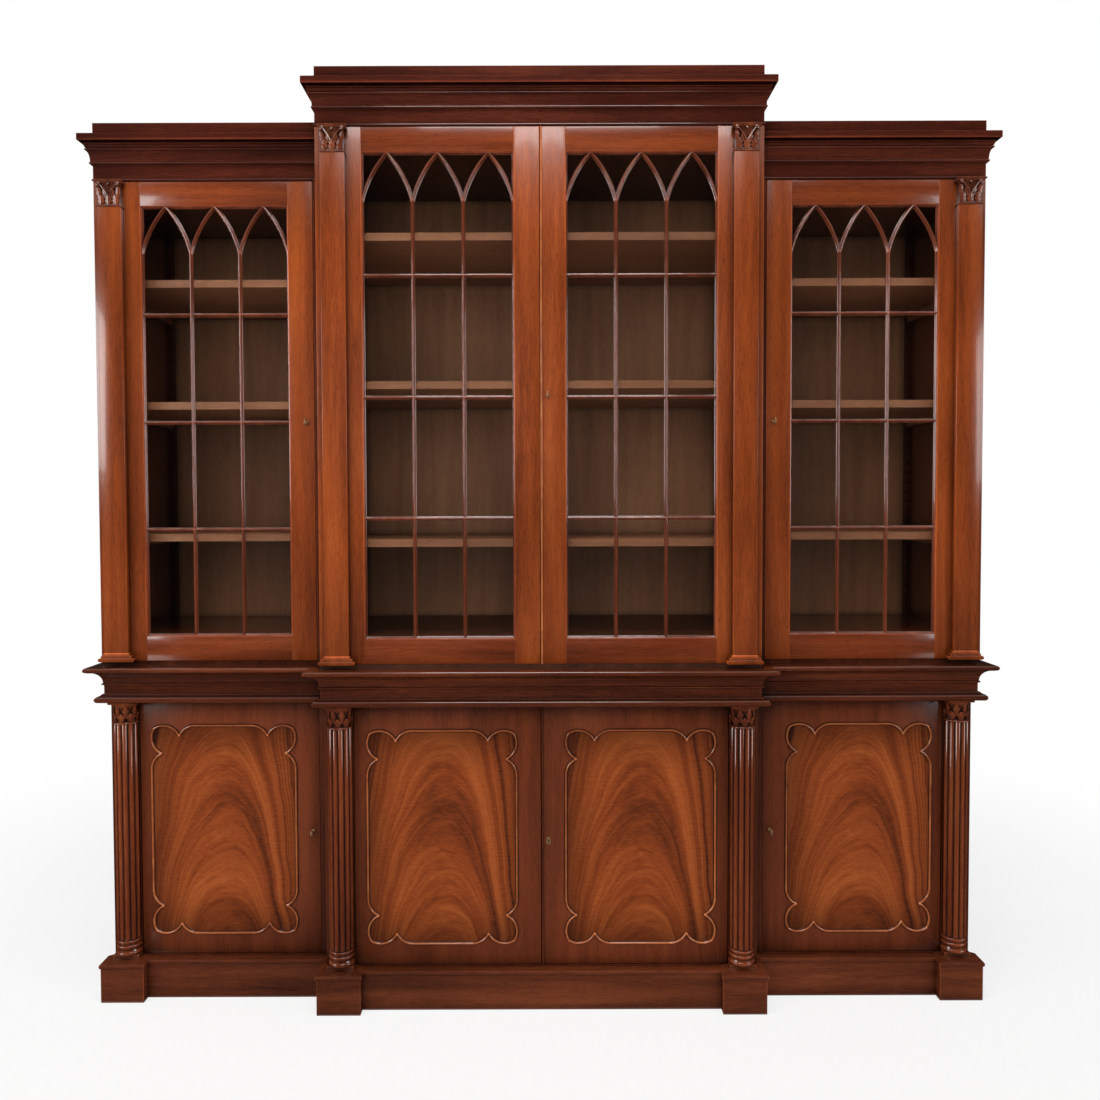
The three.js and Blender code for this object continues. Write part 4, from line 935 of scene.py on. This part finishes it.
class BOOKCASE_OT_pilasters(bpy.types.Operator):
    """Model the four pilasters with their moulded bases and carved capitals"""

    bl_idname = "bookcase.pilasters"
    bl_label = "Pilasters"

    inset, half, proud, capital = 48.5, 31.75, 18, 72  # from the door's edge, width, thickness, capital's height

    def carving(self, x, front, foot):
        """A leaf capital on a bell: three low leaves, crossing stalks, corner scrolls and a bud."""
        wide = 30
        bell = [(0, foot + 6), (-1, foot + 7), (-2.4, foot + 12), (-2.4, foot + 34)]
        bell += cove((-2.4, foot + 36), (1.5, foot + 63))[1:]
        parts = [stacked(bell, x - wide, x + wide, front + 1, front + 18, front_share=0.9)]
        for dx in (-19.5, 0, 19.5):
            parts.append(leaf(x + dx, front + 2, foot + 6, 20, 31, 5))
        rod = [(1.5 * math.cos(math.pi * k / 4), 1.5 * math.sin(math.pi * k / 4)) for k in range(8)]
        for side in (-1, 1):
            parts.append(leaf(x + side * 23.5, front + 2, foot + 24, 15, 34, 7, lean=side * 4))
            parts.append(leaf(x + side * 8.5, front + 2, foot + 24, 13, 30, 5, lobes=2, lean=side * 3))
            stalk = [(x + side * (3 + 2.1 * i), foot + 30 + 33 * (i / 10) ** 0.85) for i in range(11)]
            scroll = []
            for k in range(19):
                a = math.radians(150 - 30 * k)
                r = 5.2 * (1 - k / 24)
                scroll.append((x + side * (25.5 + r * math.cos(a)), foot + 60 + r * math.sin(a)))
            parts += [swept([stalk], rod, front - 1.5), swept([scroll], rod, front - 3.2)]
        bud = [(r, foot + z) for r, z in ((0.5, 55), (2.6, 56), (3.8, 59), (2.6, 62), (0.5, 63))]
        return joined(*parts, turned(bud, x, front - 0.6, 12))

    def execute(self, context):
        for name, s, inner, outer, face, lock, drop, hinge in UPPER_DOORS:
            x = s * (outer - self.inset)
            x0, x1 = x - self.half, x + self.half
            front = face - self.proud
            foot, cap = UPPER_DOOR_LOW, CORNICE_BOTTOM - 1.8 - drop - self.capital
            shaft = board(x0, x1, front, face, foot + 20, cap + 1, 1.2)
            base = nose((12, foot), (16, foot + 10)) + [(10, foot + 10.4), (9, foot + 10.8)]
            base += nose((6, foot + 11), (9, foot + 17)) + [(3.4, foot + 17.6), (3, foot + 18)]
            base += [(3, foot + 22.4), (0, foot + 23.5)]
            plain = joined(shaft, stacked(base, x0, x1, front, face, front_share=0.25))
            settled(plain, f"pilaster_shaft_{name}", f"upper_door_{name}", "stile", [f"pilaster_{name}"])
            necking = nose((0, cap), (2, cap + 5)) + [(-1, cap + 5.6), (-1, cap + 6.4)]
            abacus = [(p, cap + z) for p, z in ((1, 62), (3, 63), (4.2, 64), (4.5, 65), (4.5, 71.4), (4, 72))]
            head = joined(self.carving(x, front, cap), *[
                stacked(profile, x0, x1, front, face, front_share=0.75) for profile in (necking, abacus)])
            settled(head, f"pilaster_capital_{name}", f"upper_door_{name}", "carved")
        return {"FINISHED"}


class BOOKCASE_OT_locks(bpy.types.Operator):
    """Model the keys with their bows and collars, and the escutcheon"""

    bl_idname = "bookcase.locks"
    bl_label = "Keys and escutcheon"

    def key(self, x, face, z):
        """A key in its lock: turned shank and collar, and an oval bow bent from the same bar."""
        profile = [(2.3, -6.6), (2.3, 0.4), (4, 0.6), (4.3, 1.4), (4.3, 2.6), (3.6, 3.4), (2.4, 3.8), (2.1, 7),
                   (2.6, 8), (3.1, 9), (2.6, 10), (2.1, 11), (2.1, 16.6)]
        shank = placed(turned(profile, 0, ORIGIN_DEPTH, 24), rotation_euler=(math.pi / 2, 0, 0),
                       location=at(x, face, z))
        bow = blank("torus", at(x, face - 23.2, z), (1.12, 1, 0.8), rotation=(0, math.pi / 2, 0),
                    major_radius=6.9 * MM, minor_radius=1.7 * MM, major_segments=40, minor_segments=12)
        return joined(shank, clean(bow))

    def disc(self, x, y, z, radius, depth, vertices, tall=1):
        """A round or oval disc that looks to the front."""
        return blank("cylinder", at(x, y, z), (1, tall, 1), vertices=vertices, radius=radius * MM,
                     depth=depth * MM, rotation=(math.pi / 2, 0, 0))

    def execute(self, context):
        doors = [("upper", door) for door in UPPER_DOORS if door[0] != "middle_left"]
        doors += [("lower", door) for door in LOWER_DOORS if not door[0].startswith("middle")]
        for row, (name, s, inner, outer, face, lock, *_) in doors:
            settled(self.key(s * (inner + KEY_INSET), face, lock), f"key_turned_{row}_{name}",
                    f"key_{row}_{name}", "brass", [f"key_{row}_{name}"])
        x, face, z = KEY_INSET + 1, LOWER_DOOR_LINE, 441
        oval = self.disc(x, face - 0.5, z, 6, 1.2, 48, 1.75)
        modified(oval, "BEVEL", width=0.0004, segments=3, limit_method="ANGLE")
        cut(oval, self.disc(x, face, z + 2, 2.4, 8, 24), raw(x - 1.1, x + 1.1, face - 5, face + 5, z - 5.5, z + 1))
        settled(clean(oval), "escutcheon_oval", "lower_door_middle_right", "brass", ["escutcheon"])
        return {"FINISHED"}


class BOOKCASE_OT_stage(bpy.types.Operator):
    """Set the floor, the lamps and the camera"""

    bl_idname = "bookcase.stage"
    bl_label = "Stage"

    # Name, place, turn in degrees, size, power, and whether glass and polish mirror it
    lamps = (("left", (-4.2, -2.5, 2.3), (75, 0, -60), 1.9, 92, True),
             ("right", (4.5, -2.5, 2.1), (76, 0, 62), 1.9, 60, True),
             ("top", (0, -1.3, 4.3), (22, 0, 0), 1.6, 60, True),
             ("front", (-0.6, -3.7, 2.1), (82, 0, -8), 2.4, 52, False))

    def curtain(self):
        """A dark studio cloth under the bookcase and up on its four sides, which only glass and polish mirror."""
        cloth = blank("plane", (0, -2.4, 0.004), (16, 5.4, 1), size=1)
        cloth.name = "dark_cloth"
        edit_all()
        bpy.ops.mesh.select_mode(type="EDGE")
        bpy.ops.mesh.extrude_edges_move(TRANSFORM_OT_translate={"value": (0, 0, 7)})
        leave_edit()
        material, tree, place = new_material("black_cloth")
        weave = node(tree, "TexNoise", {"Vector": place, "Scale": 300.0})
        tone = node(tree, "ValToRGB", {"Fac": weave}, [(0.3, "#15110f"), (0.7, "#231d1a")])
        shader = node(tree, "BsdfPrincipled", {"Base Color": tone, "Roughness": 1.0})
        node(tree, "OutputMaterial", {"Surface": shader})
        cloth.data.materials.append(material)
        cloth.visible_camera = cloth.visible_diffuse = cloth.visible_shadow = False

    def floor(self):
        """A pale floor that fades to white away from the bookcase."""
        floor = blank("plane", (0, 0, 0), size=30)
        floor.name = "floor"
        material, tree, place = new_material("pale_floor")
        rays = node(tree, "LightPath").outputs["Is Camera Ray"]
        speckle = node(tree, "TexNoise", {"Vector": place, "Scale": 40.0})
        tone = node(tree, "ValToRGB", {"Fac": speckle}, [(0.3, "#e9e8e6"), (0.7, "#efeeec")])
        shader = node(tree, "BsdfPrincipled", {"Base Color": tone, "Roughness": 0.8})
        white = node(tree, "Emission", {"Color": linear("#ffffff"), "Strength": 1.0})
        reach = node(tree, "VectorMath", [place], operation="LENGTH").outputs["Value"]
        fade = node(tree, "MapRange", [reach, 1.2, 3.2, 0.75],
                    interpolation_type="SMOOTHSTEP")
        share = node(tree, "Math", [rays, fade], operation="MULTIPLY")
        node(tree, "OutputMaterial", {"Surface": node(tree, "MixShader", [share, shader, white])})
        floor.data.materials.append(material)

    def sky(self, context):
        """Soft light from all sides, and white wherever the camera looks past the bookcase."""
        world = bpy.data.worlds.new("studio")
        context.scene.world = world
        world.use_nodes = True
        tree = world.node_tree
        tree.nodes.clear()
        rays = node(tree, "LightPath").outputs
        seen = node(tree, "Math", [rays["Is Camera Ray"], rays["Is Transmission Ray"]], operation="MAXIMUM")
        shown = node(tree, "Math", [seen, rays["Is Glossy Ray"]], operation="MAXIMUM")
        soft = node(tree, "Background", {"Color": linear("#ffffff"), "Strength": 0.42})
        white = node(tree, "Background", {"Color": linear("#ffffff"), "Strength": 1.0})
        node(tree, "OutputWorld", {"Surface": node(tree, "MixShader", [shown, soft, white])})

    def execute(self, context):
        self.floor()
        self.curtain()
        self.sky(context)
        for name, place, turn, size, power, mirrored in self.lamps:
            clear_selection()
            bpy.ops.object.light_add(type="AREA", location=place, rotation=[math.radians(a) for a in turn])
            lamp = bpy.context.object
            lamp.name = name
            lamp.data.size = size
            lamp.data.energy = power
            lamp.visible_glossy = lamp.visible_transmission = mirrored
        clear_selection()
        bpy.ops.object.camera_add(location=(0, -2.400, 1.329), rotation=(math.radians(88.35), math.radians(0.17), 0))
        camera = bpy.context.object
        camera.name = "photo_view"
        camera.data.sensor_width = 36
        camera.data.lens = 27.37
        camera.data.shift_x = 0.0087
        camera.data.shift_y = -0.0173
        context.scene.camera = camera
        context.scene.view_settings.view_transform = "Standard"
        return {"FINISHED"}


class BOOKCASE_PT_panel(bpy.types.Panel):
    """Lists the steps that build the bookcase"""

    bl_label = "Breakfront bookcase"
    bl_idname = "BOOKCASE_PT_panel"
    bl_space_type = "VIEW_3D"
    bl_region_type = "UI"
    bl_category = "Bookcase"

    def draw(self, context):
        for step in STEPS:
            self.layout.operator(step.bl_idname)


STEPS = (BOOKCASE_OT_stage, BOOKCASE_OT_frame, BOOKCASE_OT_plinth, BOOKCASE_OT_lower_doors, BOOKCASE_OT_columns,
         BOOKCASE_OT_waist, BOOKCASE_OT_glazed_doors, BOOKCASE_OT_pilasters, BOOKCASE_OT_cornices,
         BOOKCASE_OT_locks)
CLASSES = (BookcaseSizes, BookcaseColours) + STEPS + (BOOKCASE_PT_panel,)


def register():
    for cls in CLASSES:
        bpy.utils.register_class(cls)
    bpy.types.Scene.bookcase_sizes = bpy.props.PointerProperty(type=BookcaseSizes)
    bpy.types.Scene.bookcase_colours = bpy.props.PointerProperty(type=BookcaseColours)


def unregister():
    del bpy.types.Scene.bookcase_colours
    del bpy.types.Scene.bookcase_sizes
    for cls in reversed(CLASSES):
        bpy.utils.unregister_class(cls)


def main():
    register()
    for step in STEPS:
        group, name = step.bl_idname.split(".")
        getattr(getattr(bpy.ops, group), name)()
    bpy.context.view_layer.update()


if __name__ == "__main__":
    main()
